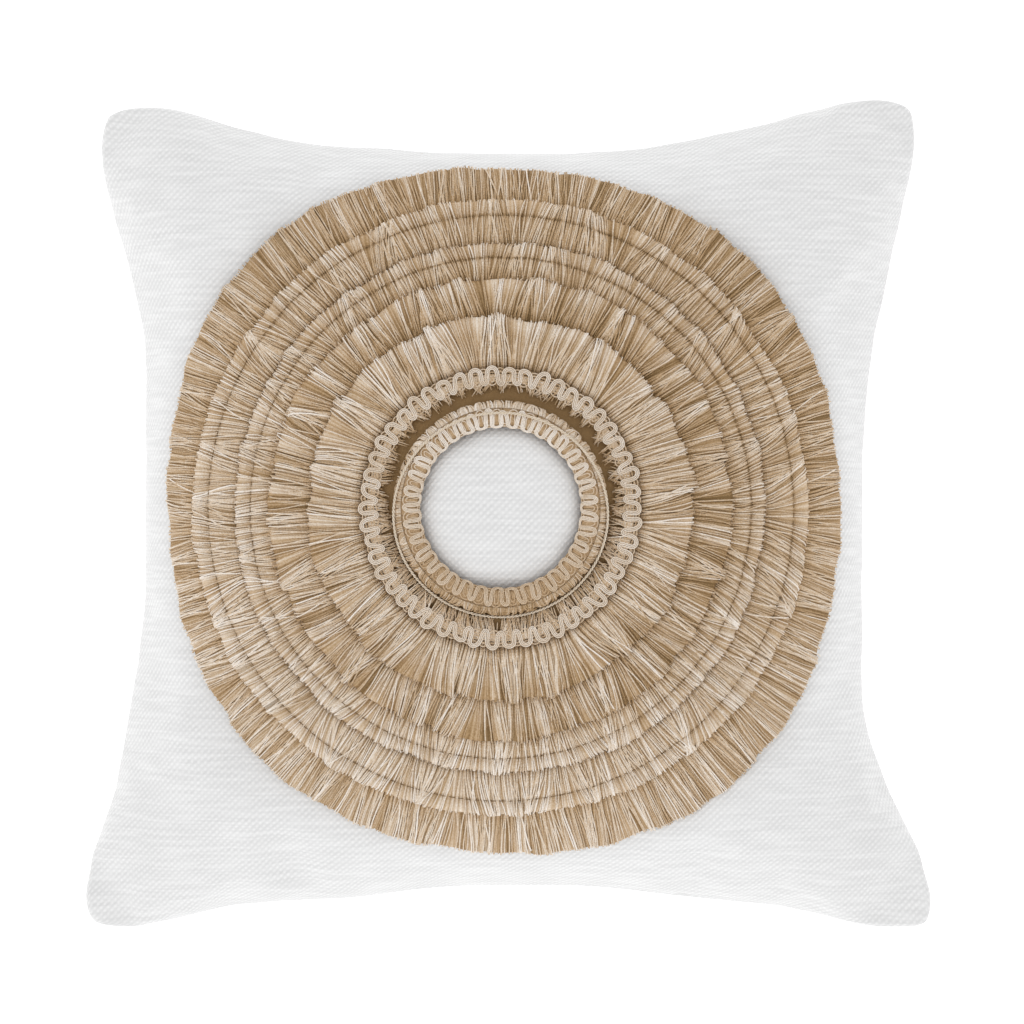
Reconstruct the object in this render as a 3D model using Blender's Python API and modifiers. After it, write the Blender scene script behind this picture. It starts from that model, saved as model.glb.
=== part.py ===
"""Square scatter cushion with a round jute fringe medallion, lying on its back.

Metres, +Z up. +Z comes out of the decorated front, +Y is the top of the cushion
and the zip runs along X in its bottom seam, on the -Y side. The origin is on the
plane that the cushion lies on, under the middle of its bounding box.
"""

import math

import bmesh
import bpy
import numpy as np
from mathutils import Vector

# Cover: the side seam is a knife edge in one level plane
SEAM_Z = 0.062
HEART = (-0.0027, -0.0024)  # middle of the pulled-in sides
HALF_WIDTH = 0.1815  # heart to the middle of the left and right sides
HALF_LENGTH = 0.1850  # heart to the middle of the top and bottom sides
TIP_LEFT_TOP = (0.2045, 0.2085)  # heart to the corner, before it is rounded
TIP_RIGHT_TOP = (0.2090, 0.2130)
TIP_LEFT_BOTTOM = (0.2130, 0.2075)
TIP_RIGHT_BOTTOM = (0.2185, 0.2080)
FLARE_START = 0.40  # share of a half side at which it starts to run out to the corner
FLARE_END = 0.97
CORNER_CUT = 0.026  # how far the rounding takes the sharp corner in
CORNER_POWER = 10
FRONT_CROWN = 0.075
BACK_CROWN = 0.068  # flattened where the back meets the plane at z = 0
CROWN_POWER = 0.5
CLOTH = 0.0012
SEAM_GAP = 0.0011  # from the seam plane to either panel's edge
PANEL_CELLS = 20
SEAM_THREAD_INSET = 0.987
SEAM_THREAD_RADIUS = 0.0005
SEAM_THREAD_POINTS = 18  # to a side

# Insert: a second, smaller cushion inside the cover
INSERT_SCALE = 0.905
INSERT_CLOTH = 0.0005
INSERT_GAP = 0.0008
INSERT_DROP = 0.0045  # from the cover's crown to the insert's
FILL_SCALE = 0.890
FILL_DROP = 0.0062
INSERT_CELLS = 12

# Medallion: rings sewn on the front, given as (radius, height above the cover)
MEDALLION_CENTRE = (-0.0042, 0.0032)
RING_STEPS = 40
STAND_OFF = 0.962  # share of its distance from the heart at which the fringe reads the cover's height
BACKING_RADII = (0.0395, 0.055, 0.072, 0.090, 0.108, 0.125, 0.140, 0.151)
BACKING_BOTTOM = 0.0008
BACKING_TOP = 0.0016
HEADER_BOTTOM = 0.0019
HEADER_TOP = 0.0029
HEADERS = {  # inner and outer radius of each tier's woven heading
    1: (0.1385, 0.1470),
    2: (0.1195, 0.1280),
    3: (0.1000, 0.1085),
    4: (0.0795, 0.0873),
    5: (0.0600, 0.0685),
}
TIERS = {  # each tier's hanging strands: under side outwards, then upper side back
    1: ((0.1474, 0.0019), (0.1580, 0.0019), (0.1700, 0.0014),
        (0.1700, 0.0034), (0.1580, 0.0039), (0.1474, 0.0040)),
    2: ((0.1284, 0.0019), (0.1380, 0.0034), (0.1524, 0.0052),
        (0.1524, 0.0072), (0.1380, 0.0056), (0.1284, 0.0040)),
    3: ((0.1089, 0.0019), (0.1185, 0.0034), (0.1306, 0.0052),
        (0.1306, 0.0072), (0.1185, 0.0056), (0.1089, 0.0040)),
    4: ((0.0877, 0.0019), (0.0980, 0.0034), (0.1139, 0.0060),
        (0.1139, 0.0084), (0.0980, 0.0060), (0.0877, 0.0042)),
    5: ((0.0692, 0.0019), (0.0785, 0.0034), (0.0860, 0.0051), (0.0946, 0.0066),
        (0.0946, 0.0092), (0.0840, 0.0076), (0.0692, 0.0044)),
}
STITCH_LINES = {2: (0.1445, 0.0070), 3: (0.1232, 0.0070)}
STITCH_RADIUS = 0.0005
GIMP_OUTER = ((0.0552, 0.0032), (0.0687, 0.0032), (0.0687, 0.0050), (0.0620, 0.0060), (0.0552, 0.0050))
ROLL_CENTRE = (0.0456, 0.0054)
ROLL_RADIUS = 0.0035
GIMP_ARCH = ((0.0070, -0.0035), (0.0064, 0.0011), (0.0038, 0.0042), (0.0, 0.0053))
GIMP_THICKNESS = 0.0013
RIM_THREAD_REACH = (0.0081, 0.0064)  # from the roll's centre, outwards and up
RIM_THREAD_TURN = (35.0, 50.0)  # degrees round the roll: middle value and swing, highest at +Y
RIM_THREAD_RADIUS = 0.0007
RIM_THREAD_POINTS = 60

# Zip: a coil zip closed in the bottom seam, its coils on the inner side of its tapes
ZIP_EDGE_Y = HEART[1] - HALF_LENGTH
ZIP_LIP = 0.0037  # how far each panel's edge draws back from the seam plane there
ZIP_LIP_FULL = 0.140  # from the middle to where the edges start to close
ZIP_LIP_END = 0.165
ZIP_LIP_FADE = 8  # how fast the drawn-back edge settles into the panel
TAPE_Y = (0.0038, 0.0044)  # inwards from the cover's edge
TAPE_Z = (0.0007, 0.0127)  # from the seam plane
TAPE_X = (-0.132, 0.132)
COIL_Y = (0.0047, 0.0066)
COIL_Z = (0.0007, 0.0032)
COIL_X = (-0.1208, 0.1252)
STOP_LENGTH = 0.0020
STOP_GAP = 0.0010  # from the last turn of the coils
STOP_HALF_WIDTH = 0.0024
SLIDER_X = 0.118
SLIDER_LENGTH = 0.012
SLIDER_HALF_WIDTH = 0.00425
OUTER_PLATE_Y = (0.0024, 0.0035)
INNER_PLATE_Y = (0.0069, 0.0081)
FLANGE_Z = (0.00355, 0.00425)
FLANGE_Y = 0.00475
POST_SIZE = (0.007, 0.0008)
JOIN = 0.0002  # how far joined shapes run into each other
BAIL_HALF_WIDTH = 0.0009
BAIL_HALF_LENGTH = 0.0037
BAIL_THICKNESS = 0.0005
BAIL_TOP_Y = 0.0002
PULL_AXIS_Y = 0.0016
PULL_LENGTH = 0.024
PULL_HALF_WIDTH = 0.0026
PULL_THICKNESS = 0.0010
PULL_EYE = (0.0006, 0.0042, 0.0015)  # near end, far end and half width of the bail's eye
PULL_HOLE_RADIUS = 0.0012
PULL_HOLE_X = 0.0205

CLOTH_WHITE = (0.80, 0.80, 0.80, 1.0)
TICKING_WHITE = (0.72, 0.72, 0.71, 1.0)
JUTE = (0.49, 0.36, 0.23, 1.0)
JUTE_DARK = (0.16, 0.10, 0.05, 1.0)
THREAD = (0.62, 0.52, 0.40, 1.0)
NYLON_WHITE = (0.75, 0.75, 0.74, 1.0)
ENAMEL_WHITE = (0.72, 0.72, 0.71, 1.0)


def clear_scene():
    for obj in list(bpy.data.objects):
        bpy.data.objects.remove(obj, do_unlink=True)


def make_collection(name):
    collection = bpy.data.collections.new(name)
    bpy.context.scene.collection.children.link(collection)
    return collection


def make_material(name, colour, roughness, metallic=0.0):
    material = bpy.data.materials.new(name)
    material.use_nodes = True
    shader = material.node_tree.nodes["Principled BSDF"]
    shader.inputs["Base Color"].default_value = colour
    shader.inputs["Roughness"].default_value = roughness
    shader.inputs["Metallic"].default_value = metallic
    material.diffuse_color = colour
    return material


def make_object(name, bm, collection, material):
    mesh = bpy.data.meshes.new(name)
    bmesh.ops.recalc_face_normals(bm, faces=bm.faces)
    bm.to_mesh(mesh)
    bm.free()
    obj = bpy.data.objects.new(name, mesh)
    obj.data.materials.append(material)
    collection.objects.link(obj)
    return obj


def smooth_step(value, start, end):
    """0 below start, 1 above end and an S-shaped curve between them."""
    t = np.clip((value - start) / (end - start), 0.0, 1.0)
    return t * t * (3.0 - 2.0 * t)


def corner_tip(u, v, axis):
    """The tip distance of the corner that each point's quarter belongs to, along one axis."""
    top = np.where(u < 0, TIP_LEFT_TOP[axis], TIP_RIGHT_TOP[axis])
    bottom = np.where(u < 0, TIP_LEFT_BOTTOM[axis], TIP_RIGHT_BOTTOM[axis])
    return np.where(v > 0, top, bottom)


def half_sides(u, v):
    """Half width at height v and half length at u: the side's middle value, flared out to the tip."""
    width = HALF_WIDTH + (corner_tip(u, v, 0) - HALF_WIDTH) * smooth_step(abs(v), FLARE_START, FLARE_END)
    length = HALF_LENGTH + (corner_tip(u, v, 1) - HALF_LENGTH) * smooth_step(abs(u), FLARE_START, FLARE_END)
    return width, length


def cover_xy(u, v, scale=1.0):
    """Plan position of cushion coordinates u and v, which are -1 to 1 from side to side."""
    width, length = half_sides(u, v)
    rounding = 1.0 - CORNER_CUT * (u * u * v * v) ** CORNER_POWER
    return HEART[0] + u * width * rounding * scale, HEART[1] + v * length * rounding * scale


def cover_uv(x, y):
    """Cushion coordinates of a plan position, found by repeated division by the half sides."""
    u = (x - HEART[0]) / HALF_WIDTH
    v = (y - HEART[1]) / HALF_LENGTH
    for _ in range(24):
        width, length = half_sides(u, v)
        u = (x - HEART[0]) / width
        v = (y - HEART[1]) / length
    return u, v


def fullness(u, v):
    """1 at the heart and 0 along the whole seam, crowned like a stuffed cushion."""
    return (np.clip((1.0 - u * u) * (1.0 - v * v), 0.0, 1.0)) ** CROWN_POWER


def drape_height(x, y):
    """World height that the medallion's underside follows: the front panel's outer face, but with
    the plan position drawn in a little, because stiff fringe stands off where the cover falls away."""
    u, v = cover_uv(x, y)
    return SEAM_Z + SEAM_GAP + FRONT_CROWN * fullness(STAND_OFF * u, STAND_OFF * v)


def zip_lip(x, v):
    """How far the zip keeps a panel's edge from the seam plane, fading out up the panel."""
    along = 1.0 - smooth_step(abs(x), ZIP_LIP_FULL, ZIP_LIP_END)
    return ZIP_LIP * along * ((1.0 - v) / 2.0) ** ZIP_LIP_FADE


def grid_surface(cells, place):
    """A grid over u and v, closer together towards the seam, with each vertex moved by place."""
    bm = bmesh.new()
    bmesh.ops.create_grid(bm, x_segments=cells, y_segments=cells, size=1.0)
    for vertex in bm.verts:
        u = math.sin(vertex.co.x * math.pi / 2.0)
        v = math.sin(vertex.co.y * math.pi / 2.0)
        vertex.co = place(u, v)
    return bm


def shell_place(side, crown, gap, scale, lip):
    """Puts a cushion coordinate on one face of a cushion: side is 1 at the front, -1 at the back."""
    def place(u, v):
        x, y = cover_xy(np.float64(u), np.float64(v), scale)
        rise = gap + crown * fullness(u, v) + (zip_lip(x, v) if lip else 0.0)
        return (float(x), float(y), max(0.0, SEAM_Z + side * float(rise)))
    return place


def make_shell(name, side, crown, gap, scale, thickness, cells, lip, collection, material):
    bm = grid_surface(cells, shell_place(side, crown, gap, scale, lip))
    obj = make_object(name, bm, collection, material)
    facing_out = obj.data.polygons[len(obj.data.polygons) // 2].normal.z * side > 0
    if not facing_out:
        obj.data.flip_normals()
    solidify = obj.modifiers.new("thickness", "SOLIDIFY")
    solidify.thickness = thickness
    solidify.offset = -1.0
    return obj


def make_cover(collection):
    cloth = make_material("slub_cotton_twill", CLOTH_WHITE, 0.9)
    make_shell("front_panel", 1, FRONT_CROWN, SEAM_GAP, 1.0, CLOTH, PANEL_CELLS, True, collection, cloth)
    make_shell("back_panel", -1, BACK_CROWN, SEAM_GAP, 1.0, CLOTH, PANEL_CELLS, True, collection, cloth)


def seam_route():
    """Seam points from one end of the zip round the cover to the other, corner by corner."""
    steps = np.linspace(-1.0, 1.0, SEAM_THREAD_POINTS)
    side = np.sin(steps * math.pi / 2.0)
    one = np.ones_like(side)
    zip_end = ZIP_LIP_END / TIP_RIGHT_BOTTOM[0]
    to_corner = np.linspace(zip_end, 1.0, 4)
    u = np.concatenate((to_corner[:-1], one[:-1], side[::-1][:-1], -one[:-1], -to_corner[::-1]))
    v = np.concatenate((-one[:3], side[:-1], one[:-1], side[::-1][:-1], -one[:4]))
    x, y = cover_xy(u, v, SEAM_THREAD_INSET)
    return [(a, b, SEAM_Z) for a, b in zip(x, y)]


def rim_thread_route():
    """Once round the medallion, on the braid's crest at +Y and down in the groove outside it at -Y."""
    points = []
    for k in range(RIM_THREAD_POINTS):
        around = k * math.tau / RIM_THREAD_POINTS
        turn = math.radians(RIM_THREAD_TURN[0] + RIM_THREAD_TURN[1] * math.sin(around))
        radius = ROLL_CENTRE[0] + RIM_THREAD_REACH[0] * math.cos(turn)
        x = MEDALLION_CENTRE[0] + radius * math.cos(around)
        y = MEDALLION_CENTRE[1] + radius * math.sin(around)
        lift = ROLL_CENTRE[1] + RIM_THREAD_REACH[1] * math.sin(turn)
        points.append((x, y, float(drape_height(np.float64(x), np.float64(y))) + lift))
    return points


def make_thread(name, points, radius, closed, collection, material):
    curve = bpy.data.curves.new(name, "CURVE")
    curve.dimensions = "3D"
    curve.bevel_depth = radius
    curve.bevel_resolution = 1
    curve.use_fill_caps = True
    spline = curve.splines.new("POLY")
    spline.points.add(len(points) - 1)
    spline.use_cyclic_u = closed
    for point, place in zip(spline.points, points):
        point.co = (*place, 1.0)
    obj = bpy.data.objects.new(name, curve)
    curve.materials.append(material)
    collection.objects.link(obj)
    return obj


def make_insert(collection):
    ticking = make_material("insert_ticking", TICKING_WHITE, 0.9)
    front = FRONT_CROWN - INSERT_DROP
    back = BACK_CROWN - INSERT_DROP
    make_shell("insert_casing_front", 1, front, INSERT_GAP, INSERT_SCALE, INSERT_CLOTH,
               INSERT_CELLS, False, collection, ticking)
    # The back of the insert stops short of the flattened back of the cover
    flat_limit = SEAM_Z - 2.0 * CLOTH - INSERT_GAP
    make_shell("insert_casing_back", -1, min(back, flat_limit), INSERT_GAP, INSERT_SCALE, INSERT_CLOTH,
               INSERT_CELLS, False, collection, ticking)
    fill = make_material("hollow_fibre_fill", CLOTH_WHITE, 1.0)
    bm = grid_surface(INSERT_CELLS, shell_place(1, FRONT_CROWN - FILL_DROP, 0.0, FILL_SCALE, False))
    fill_back = min(back, flat_limit) - (FILL_DROP - INSERT_DROP)
    under = grid_surface(INSERT_CELLS, shell_place(-1, fill_back, 0.0, FILL_SCALE, False))
    mesh = bpy.data.meshes.new("under")
    under.to_mesh(mesh)
    under.free()
    bm.from_mesh(mesh)
    bpy.data.meshes.remove(mesh)
    bmesh.ops.remove_doubles(bm, verts=bm.verts, dist=1e-6)
    make_object("insert_fill", bm, collection, fill)


def ring(name, profile, collection, material):
    """Turns a (radius, height) profile about the medallion's centre and drapes it over the cover."""
    bm = bmesh.new()
    verts = [bm.verts.new((radius, 0.0, height)) for radius, height in profile]
    edges = [bm.edges.new((a, b)) for a, b in zip(verts, verts[1:] + verts[:1])]
    bmesh.ops.spin(bm, geom=verts + edges, axis=(0, 0, 1), cent=(0, 0, 0),
                   angle=math.tau, steps=RING_STEPS, use_merge=True)
    bmesh.ops.remove_doubles(bm, verts=bm.verts, dist=1e-6)
    for vertex in bm.verts:
        vertex.co.x += MEDALLION_CENTRE[0]
        vertex.co.y += MEDALLION_CENTRE[1]
        vertex.co.z += float(drape_height(np.float64(vertex.co.x), np.float64(vertex.co.y)))
    return make_object(name, bm, collection, material)


def round_profile(centre, radius, sides):
    """A regular polygon with a flat side down."""
    turns = [(k + 0.5) * math.tau / sides - math.pi / 2.0 for k in range(sides)]
    return [(centre[0] + radius * math.cos(t), centre[1] + radius * math.sin(t)) for t in turns]


def arch_profile():
    """A braid laid over the padded roll: the outer arch out and over, then the inner arch back."""
    right = [(ROLL_CENTRE[0] + dx, ROLL_CENTRE[1] + dz) for dx, dz in GIMP_ARCH]
    left = [(2.0 * ROLL_CENTRE[0] - r, z) for r, z in reversed(right[:-1])]
    outer = right + left
    inner = []
    for radius, height in reversed(outer):
        away = (radius - ROLL_CENTRE[0], height - ROLL_CENTRE[1])
        shrink = 1.0 - GIMP_THICKNESS / math.hypot(*away)
        if height < HEADER_TOP:
            inner.append((ROLL_CENTRE[0] + away[0] - math.copysign(GIMP_THICKNESS, away[0]), height))
        else:
            inner.append((ROLL_CENTRE[0] + away[0] * shrink, ROLL_CENTRE[1] + away[1] * shrink))
    return outer + inner


def make_medallion(collection):
    jute = make_material("jute_yarn", JUTE, 0.85)
    dark = make_material("jute_felt", JUTE_DARK, 0.95)
    thread = make_material("sewing_thread", THREAD, 0.7)
    top = [(radius, BACKING_TOP) for radius in reversed(BACKING_RADII)]
    under = [(radius, BACKING_BOTTOM) for radius in BACKING_RADII]
    ring("medallion_backing", under + top, collection, dark)
    for tier, (inner, outer) in HEADERS.items():
        band = ((inner, HEADER_BOTTOM), (outer, HEADER_BOTTOM), (outer, HEADER_TOP), (inner, HEADER_TOP))
        ring(f"fringe_header_{tier}", band, collection, jute)
        ring(f"fringe_tier_{tier}", TIERS[tier], collection, jute)
    for tier, centre in STITCH_LINES.items():
        ring(f"stitch_line_{tier}", round_profile(centre, STITCH_RADIUS, 4), collection, thread)
    ring("gimp_outer", GIMP_OUTER, collection, jute)
    ring("rim_roll", round_profile(ROLL_CENTRE, ROLL_RADIUS, 8), collection, jute)
    ring("gimp_inner", arch_profile(), collection, jute)
    make_thread("rim_thread", rim_thread_route(), RIM_THREAD_RADIUS, True, collection, thread)


def block(bm, x, y, z):
    """Adds a box between two x, two y (from the cover's edge) and two z (from the seam plane)."""
    made = bmesh.ops.create_cube(bm, size=1.0)
    for vertex in made["verts"]:
        vertex.co.x = x[0] if vertex.co.x < 0 else x[1]
        vertex.co.y = ZIP_EDGE_Y + (y[0] if vertex.co.y < 0 else y[1])
        vertex.co.z = SEAM_Z + (z[0] if vertex.co.z < 0 else z[1])


def make_block(name, x, y, z, collection, material):
    bm = bmesh.new()
    block(bm, x, y, z)
    return make_object(name, bm, collection, material)


def both_ways(span):
    return (-span, span)


def cut(obj, cutter, operation, cutters):
    """Applies one exact Boolean, keeping its second shape in the cutters' collection."""
    for collection in cutter.users_collection:
        collection.objects.unlink(cutter)
    cutters.objects.link(cutter)
    cutter.hide_render = True
    cutter.display_type = "WIRE"
    boolean = obj.modifiers.new(cutter.name, "BOOLEAN")
    boolean.operation = operation
    boolean.object = cutter


def make_slider(collection, cutters, material):
    """Two plates joined by a post, flanges on the inner plate and a bail on the outer one."""
    x = (SLIDER_X - SLIDER_LENGTH / 2.0, SLIDER_X + SLIDER_LENGTH / 2.0)
    wide = both_ways(SLIDER_HALF_WIDTH)
    slider = make_block("zip_slider", x, OUTER_PLATE_Y, wide, collection, material)
    pieces = {
        "slider_inner_plate": (x, INNER_PLATE_Y, wide),
        "slider_post": ((SLIDER_X - POST_SIZE[0] / 2.0, SLIDER_X + POST_SIZE[0] / 2.0),
                        (OUTER_PLATE_Y[1] - JOIN, INNER_PLATE_Y[0] + JOIN), both_ways(POST_SIZE[1] / 2.0)),
        "slider_flange_front": ((x[0] + JOIN, x[1] - JOIN), (FLANGE_Y, INNER_PLATE_Y[0] + JOIN),
                                (FLANGE_Z[0], FLANGE_Z[1] - JOIN)),
        "slider_flange_back": ((x[0] + JOIN, x[1] - JOIN), (FLANGE_Y, INNER_PLATE_Y[0] + JOIN),
                               (JOIN - FLANGE_Z[1], -FLANGE_Z[0])),
        "slider_bail": ((SLIDER_X - BAIL_HALF_LENGTH, SLIDER_X + BAIL_HALF_LENGTH),
                        (BAIL_TOP_Y, OUTER_PLATE_Y[0] + JOIN), both_ways(BAIL_HALF_WIDTH)),
    }
    for name, (px, py, pz) in pieces.items():
        cut(slider, make_block(name, px, py, pz, collection, material), "UNION", cutters)
    window = BAIL_HALF_LENGTH - BAIL_THICKNESS
    eye = make_block("slider_bail_window", (SLIDER_X - window, SLIDER_X + window),
                     (BAIL_TOP_Y + BAIL_THICKNESS, OUTER_PLATE_Y[0]), both_ways(2.0 * BAIL_HALF_WIDTH),
                     collection, material)
    cut(slider, eye, "DIFFERENCE", cutters)
    return slider


def make_pull(collection, cutters, material):
    """A flat tab with its hinge bar under the bail, an eye round the bail and a hole at its end."""
    pivot = (SLIDER_X, ZIP_EDGE_Y + PULL_AXIS_Y, SEAM_Z)
    half = PULL_THICKNESS / 2.0
    bar = PULL_EYE[0]
    bm = bmesh.new()
    block(bm, (SLIDER_X - PULL_LENGTH, SLIDER_X + bar), (PULL_AXIS_Y - half, PULL_AXIS_Y + half),
          both_ways(PULL_HALF_WIDTH))
    for vertex in bm.verts:
        vertex.co -= Vector(pivot)
    pull = make_object("zip_pull", bm, collection, material)
    pull.location = pivot
    eye = make_block("pull_eye", (SLIDER_X - PULL_EYE[1], SLIDER_X - bar), (0.0, 2.0 * PULL_AXIS_Y),
                     both_ways(PULL_EYE[2]), collection, material)
    cut(pull, eye, "DIFFERENCE", cutters)
    bm = bmesh.new()
    bmesh.ops.create_cone(bm, cap_ends=True, segments=12, radius1=PULL_HOLE_RADIUS,
                          radius2=PULL_HOLE_RADIUS, depth=4.0 * PULL_THICKNESS)
    hole = make_object("pull_hole", bm, collection, material)
    hole.rotation_euler = (math.pi / 2.0, 0.0, 0.0)
    hole.location = (SLIDER_X - PULL_HOLE_X, pivot[1], SEAM_Z)
    cut(pull, hole, "DIFFERENCE", cutters)
    return pull


def make_zip(collection, cutters):
    nylon = make_material("zip_nylon", NYLON_WHITE, 0.5)
    enamel = make_material("enamelled_zinc", ENAMEL_WHITE, 0.35)
    for name, side in (("front", 1), ("back", -1)):
        tape_z = sorted((side * TAPE_Z[0], side * TAPE_Z[1]))
        coil_z = sorted((side * COIL_Z[0], side * COIL_Z[1]))
        make_block(f"zip_tape_{name}", TAPE_X, TAPE_Y, tape_z, collection, nylon)
        make_block(f"zip_coil_{name}", COIL_X, COIL_Y, coil_z, collection, nylon)
    top = COIL_X[1] + STOP_GAP
    bottom = COIL_X[0] - STOP_GAP
    make_block("zip_top_stop", (top, top + STOP_LENGTH), COIL_Y,
               both_ways(STOP_HALF_WIDTH), collection, enamel)
    make_block("zip_bottom_stop", (bottom - STOP_LENGTH, bottom), COIL_Y,
               both_ways(STOP_HALF_WIDTH), collection, enamel)
    make_slider(collection, cutters, enamel)
    make_pull(collection, cutters, enamel)


def build():
    clear_scene()
    cushion = make_collection("fringed_cushion")
    cutters = make_collection("cutters")
    make_cover(cushion)
    seam_thread = make_material("seam_sewing_thread", CLOTH_WHITE, 0.7)
    make_thread("seam_thread", seam_route(), SEAM_THREAD_RADIUS, False, cushion, seam_thread)
    make_insert(cushion)
    make_medallion(cushion)
    make_zip(cushion, cutters)


build()
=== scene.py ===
"""Scatter cushion with a jute fringe medallion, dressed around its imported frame.

Metres, +Z up. +Z comes out of the decorated front, +Y is the top of the cushion and the zip
runs along X in the bottom seam. The sections follow the order in which the cushion is made up.
"""

import math

import bmesh
import bpy
import numpy as np
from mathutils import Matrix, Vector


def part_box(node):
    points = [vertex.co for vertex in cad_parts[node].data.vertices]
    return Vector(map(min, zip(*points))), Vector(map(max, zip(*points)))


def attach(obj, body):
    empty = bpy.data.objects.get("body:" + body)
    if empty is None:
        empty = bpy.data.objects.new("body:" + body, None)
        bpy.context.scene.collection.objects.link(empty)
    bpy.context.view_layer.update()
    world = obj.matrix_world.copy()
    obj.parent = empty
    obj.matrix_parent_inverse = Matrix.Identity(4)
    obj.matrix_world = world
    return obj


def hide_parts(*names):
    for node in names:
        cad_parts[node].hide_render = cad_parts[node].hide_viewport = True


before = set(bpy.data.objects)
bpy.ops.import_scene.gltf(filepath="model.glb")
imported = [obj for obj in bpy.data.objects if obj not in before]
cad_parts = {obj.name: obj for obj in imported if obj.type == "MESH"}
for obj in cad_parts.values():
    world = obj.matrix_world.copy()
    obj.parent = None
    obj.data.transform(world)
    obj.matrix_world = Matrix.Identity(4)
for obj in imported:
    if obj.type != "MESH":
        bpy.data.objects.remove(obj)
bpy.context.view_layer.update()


# --- Studio ---------------------------------------------------------------------------------
# A white sweep under a bright, even sky, with one broad soft light from the lower left. The
# camera hangs straight above the cushion, far enough away to flatten its perspective.
SEAM_Z = 0.062
CAMERA_HEIGHT = 2.4  # above the seam
CAMERA_XY = (0.00134, 0.00114)
LENS_MM = 167.1
SENSOR_MM = 36.0
SKY_STRENGTH = 0.92
KEY_STRENGTH = 0.36
KEY_FROM_DEG = (240.0, 38.0)  # azimuth and elevation that the light comes from
KEY_SPREAD_DEG = 90.0
FLOOR_SIZE = 12.0
FLOOR_Z = -0.0004


def linear(hex_colour):
    """Linear RGBA of an sRGB hex colour: (c / 12.92) in the dark, ((c + 0.055) / 1.055)^2.4 above."""
    srgb = np.array([int(hex_colour[k:k + 2], 16) / 255.0 for k in (1, 3, 5)])
    bright = ((srgb + 0.055) / 1.055) ** 2.4
    return (*np.where(srgb <= 0.04045, srgb / 12.92, bright).tolist(), 1.0)


def add_node(tree, kind, inputs, **settings):
    """Adds a shader node of a kind. Settings are its own fields; inputs go by socket name or number,
    and each is a value or another node's output to link."""
    made = tree.nodes.new("ShaderNode" + kind)
    for field, value in settings.items():
        setattr(made, field, value)
    for socket, value in inputs.items():
        if isinstance(value, bpy.types.NodeSocket):
            tree.links.new(value, made.inputs[socket])
        else:
            made.inputs[socket].default_value = value
    return made


def new_material(name):
    """A material with the standard surface shader; returns the material, its tree and the shader."""
    material = bpy.data.materials.new(name)
    material.use_nodes = True
    return material, material.node_tree, material.node_tree.nodes["Principled BSDF"]


def place(name, data):
    """A new object for the data, in the scene."""
    obj = bpy.data.objects.new(name, data)
    bpy.context.scene.collection.objects.link(obj)
    return obj


lens = bpy.data.cameras.new("camera")
lens.lens = LENS_MM
lens.sensor_width = SENSOR_MM
camera = place("camera", lens)
camera.location = (*CAMERA_XY, SEAM_Z + CAMERA_HEIGHT)
bpy.context.scene.camera = camera
bpy.context.scene.view_settings.view_transform = "Standard"

sky = bpy.data.worlds.new("bright_room")
sky.use_nodes = True
sky.node_tree.nodes["Background"].inputs["Color"].default_value = linear("#ffffff")
sky.node_tree.nodes["Background"].inputs["Strength"].default_value = SKY_STRENGTH
bpy.context.scene.world = sky

key = bpy.data.lights.new("soft_key", "SUN")
key.energy = KEY_STRENGTH
key.angle = math.radians(KEY_SPREAD_DEG)
key_light = place("soft_key", key)
key_light.rotation_euler = (0.0, math.radians(90.0 - KEY_FROM_DEG[1]), math.radians(KEY_FROM_DEG[0]))

# White paper sweep: it gives off a little light itself, so it stays white under the cushion's shade
paper, tree, shader = new_material("white_paper")
shader.inputs["Base Color"].default_value = linear("#d8d8d8")
shader.inputs["Roughness"].default_value = 0.9
shader.inputs["Emission Color"].default_value = linear("#ffffff")
shader.inputs["Emission Strength"].default_value = 0.70
bpy.ops.mesh.primitive_plane_add(size=FLOOR_SIZE, location=(0.0, 0.0, FLOOR_Z))
floor = bpy.context.active_object
floor.name = "floor"
floor.data.materials.append(paper)


# --- Insert ---------------------------------------------------------------------------------
# A cushion inside the cushion: two squares of white cotton ticking sewn round a hollow-fibre
# fill. It is hidden by the cover and keeps its solids.
TICKING_THREAD = 0.0006
FIBRE_TUFT = 0.006


def two_tone(name, kind, texture, colours, values, relief=0.0, **settings):
    """A material whose colour runs from the first hex colour to the second by one texture on Object
    coordinates, which also raises the surface by up to the relief. Values go to shader sockets."""
    material, tree, shader = new_material(name)
    where = add_node(tree, "TexCoord", {})
    pattern = add_node(tree, kind, {"Vector": where.outputs["Object"], **texture}, **settings)
    colour = add_node(tree, "Mix", {0: pattern.outputs["Fac"], 6: linear(colours[0]), 7: linear(colours[1])},
                      data_type="RGBA")
    tree.links.new(colour.outputs[2], shader.inputs["Base Color"])
    if relief:
        bump = add_node(tree, "Bump", {"Height": pattern.outputs["Fac"], "Distance": relief})
        tree.links.new(bump.outputs[0], shader.inputs["Normal"])
    for socket, value in values.items():
        shader.inputs[socket].default_value = value
    return material


def finish_node(node, material):
    """Gives its material to a CAD node that is shown as it is."""
    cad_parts[node].data.materials.clear()
    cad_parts[node].data.materials.append(material)


# Cotton ticking: tight plain weave, calendered smooth, with a faint check of threads
ticking = two_tone("cotton_ticking", "TexChecker", {"Scale": 1 / TICKING_THREAD}, ("#dddcd7", "#f0efeb"),
                   {"Roughness": 0.85}, relief=0.0001)

# Siliconised hollow polyester fibre: white, fluffy, with soft tufts
fibre = two_tone("hollow_polyester_fibre", "TexNoise",
                 {"Scale": 1 / FIBRE_TUFT, "Detail": 8.0, "Roughness": 0.75}, ("#e3e3e0", "#fbfbfa"),
                 {"Roughness": 1.0, "Sheen Weight": 0.3}, relief=0.002)

finish_node("insert_casing_front", ticking)
finish_node("insert_casing_back", ticking)
finish_node("insert_fill", fibre)


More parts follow.
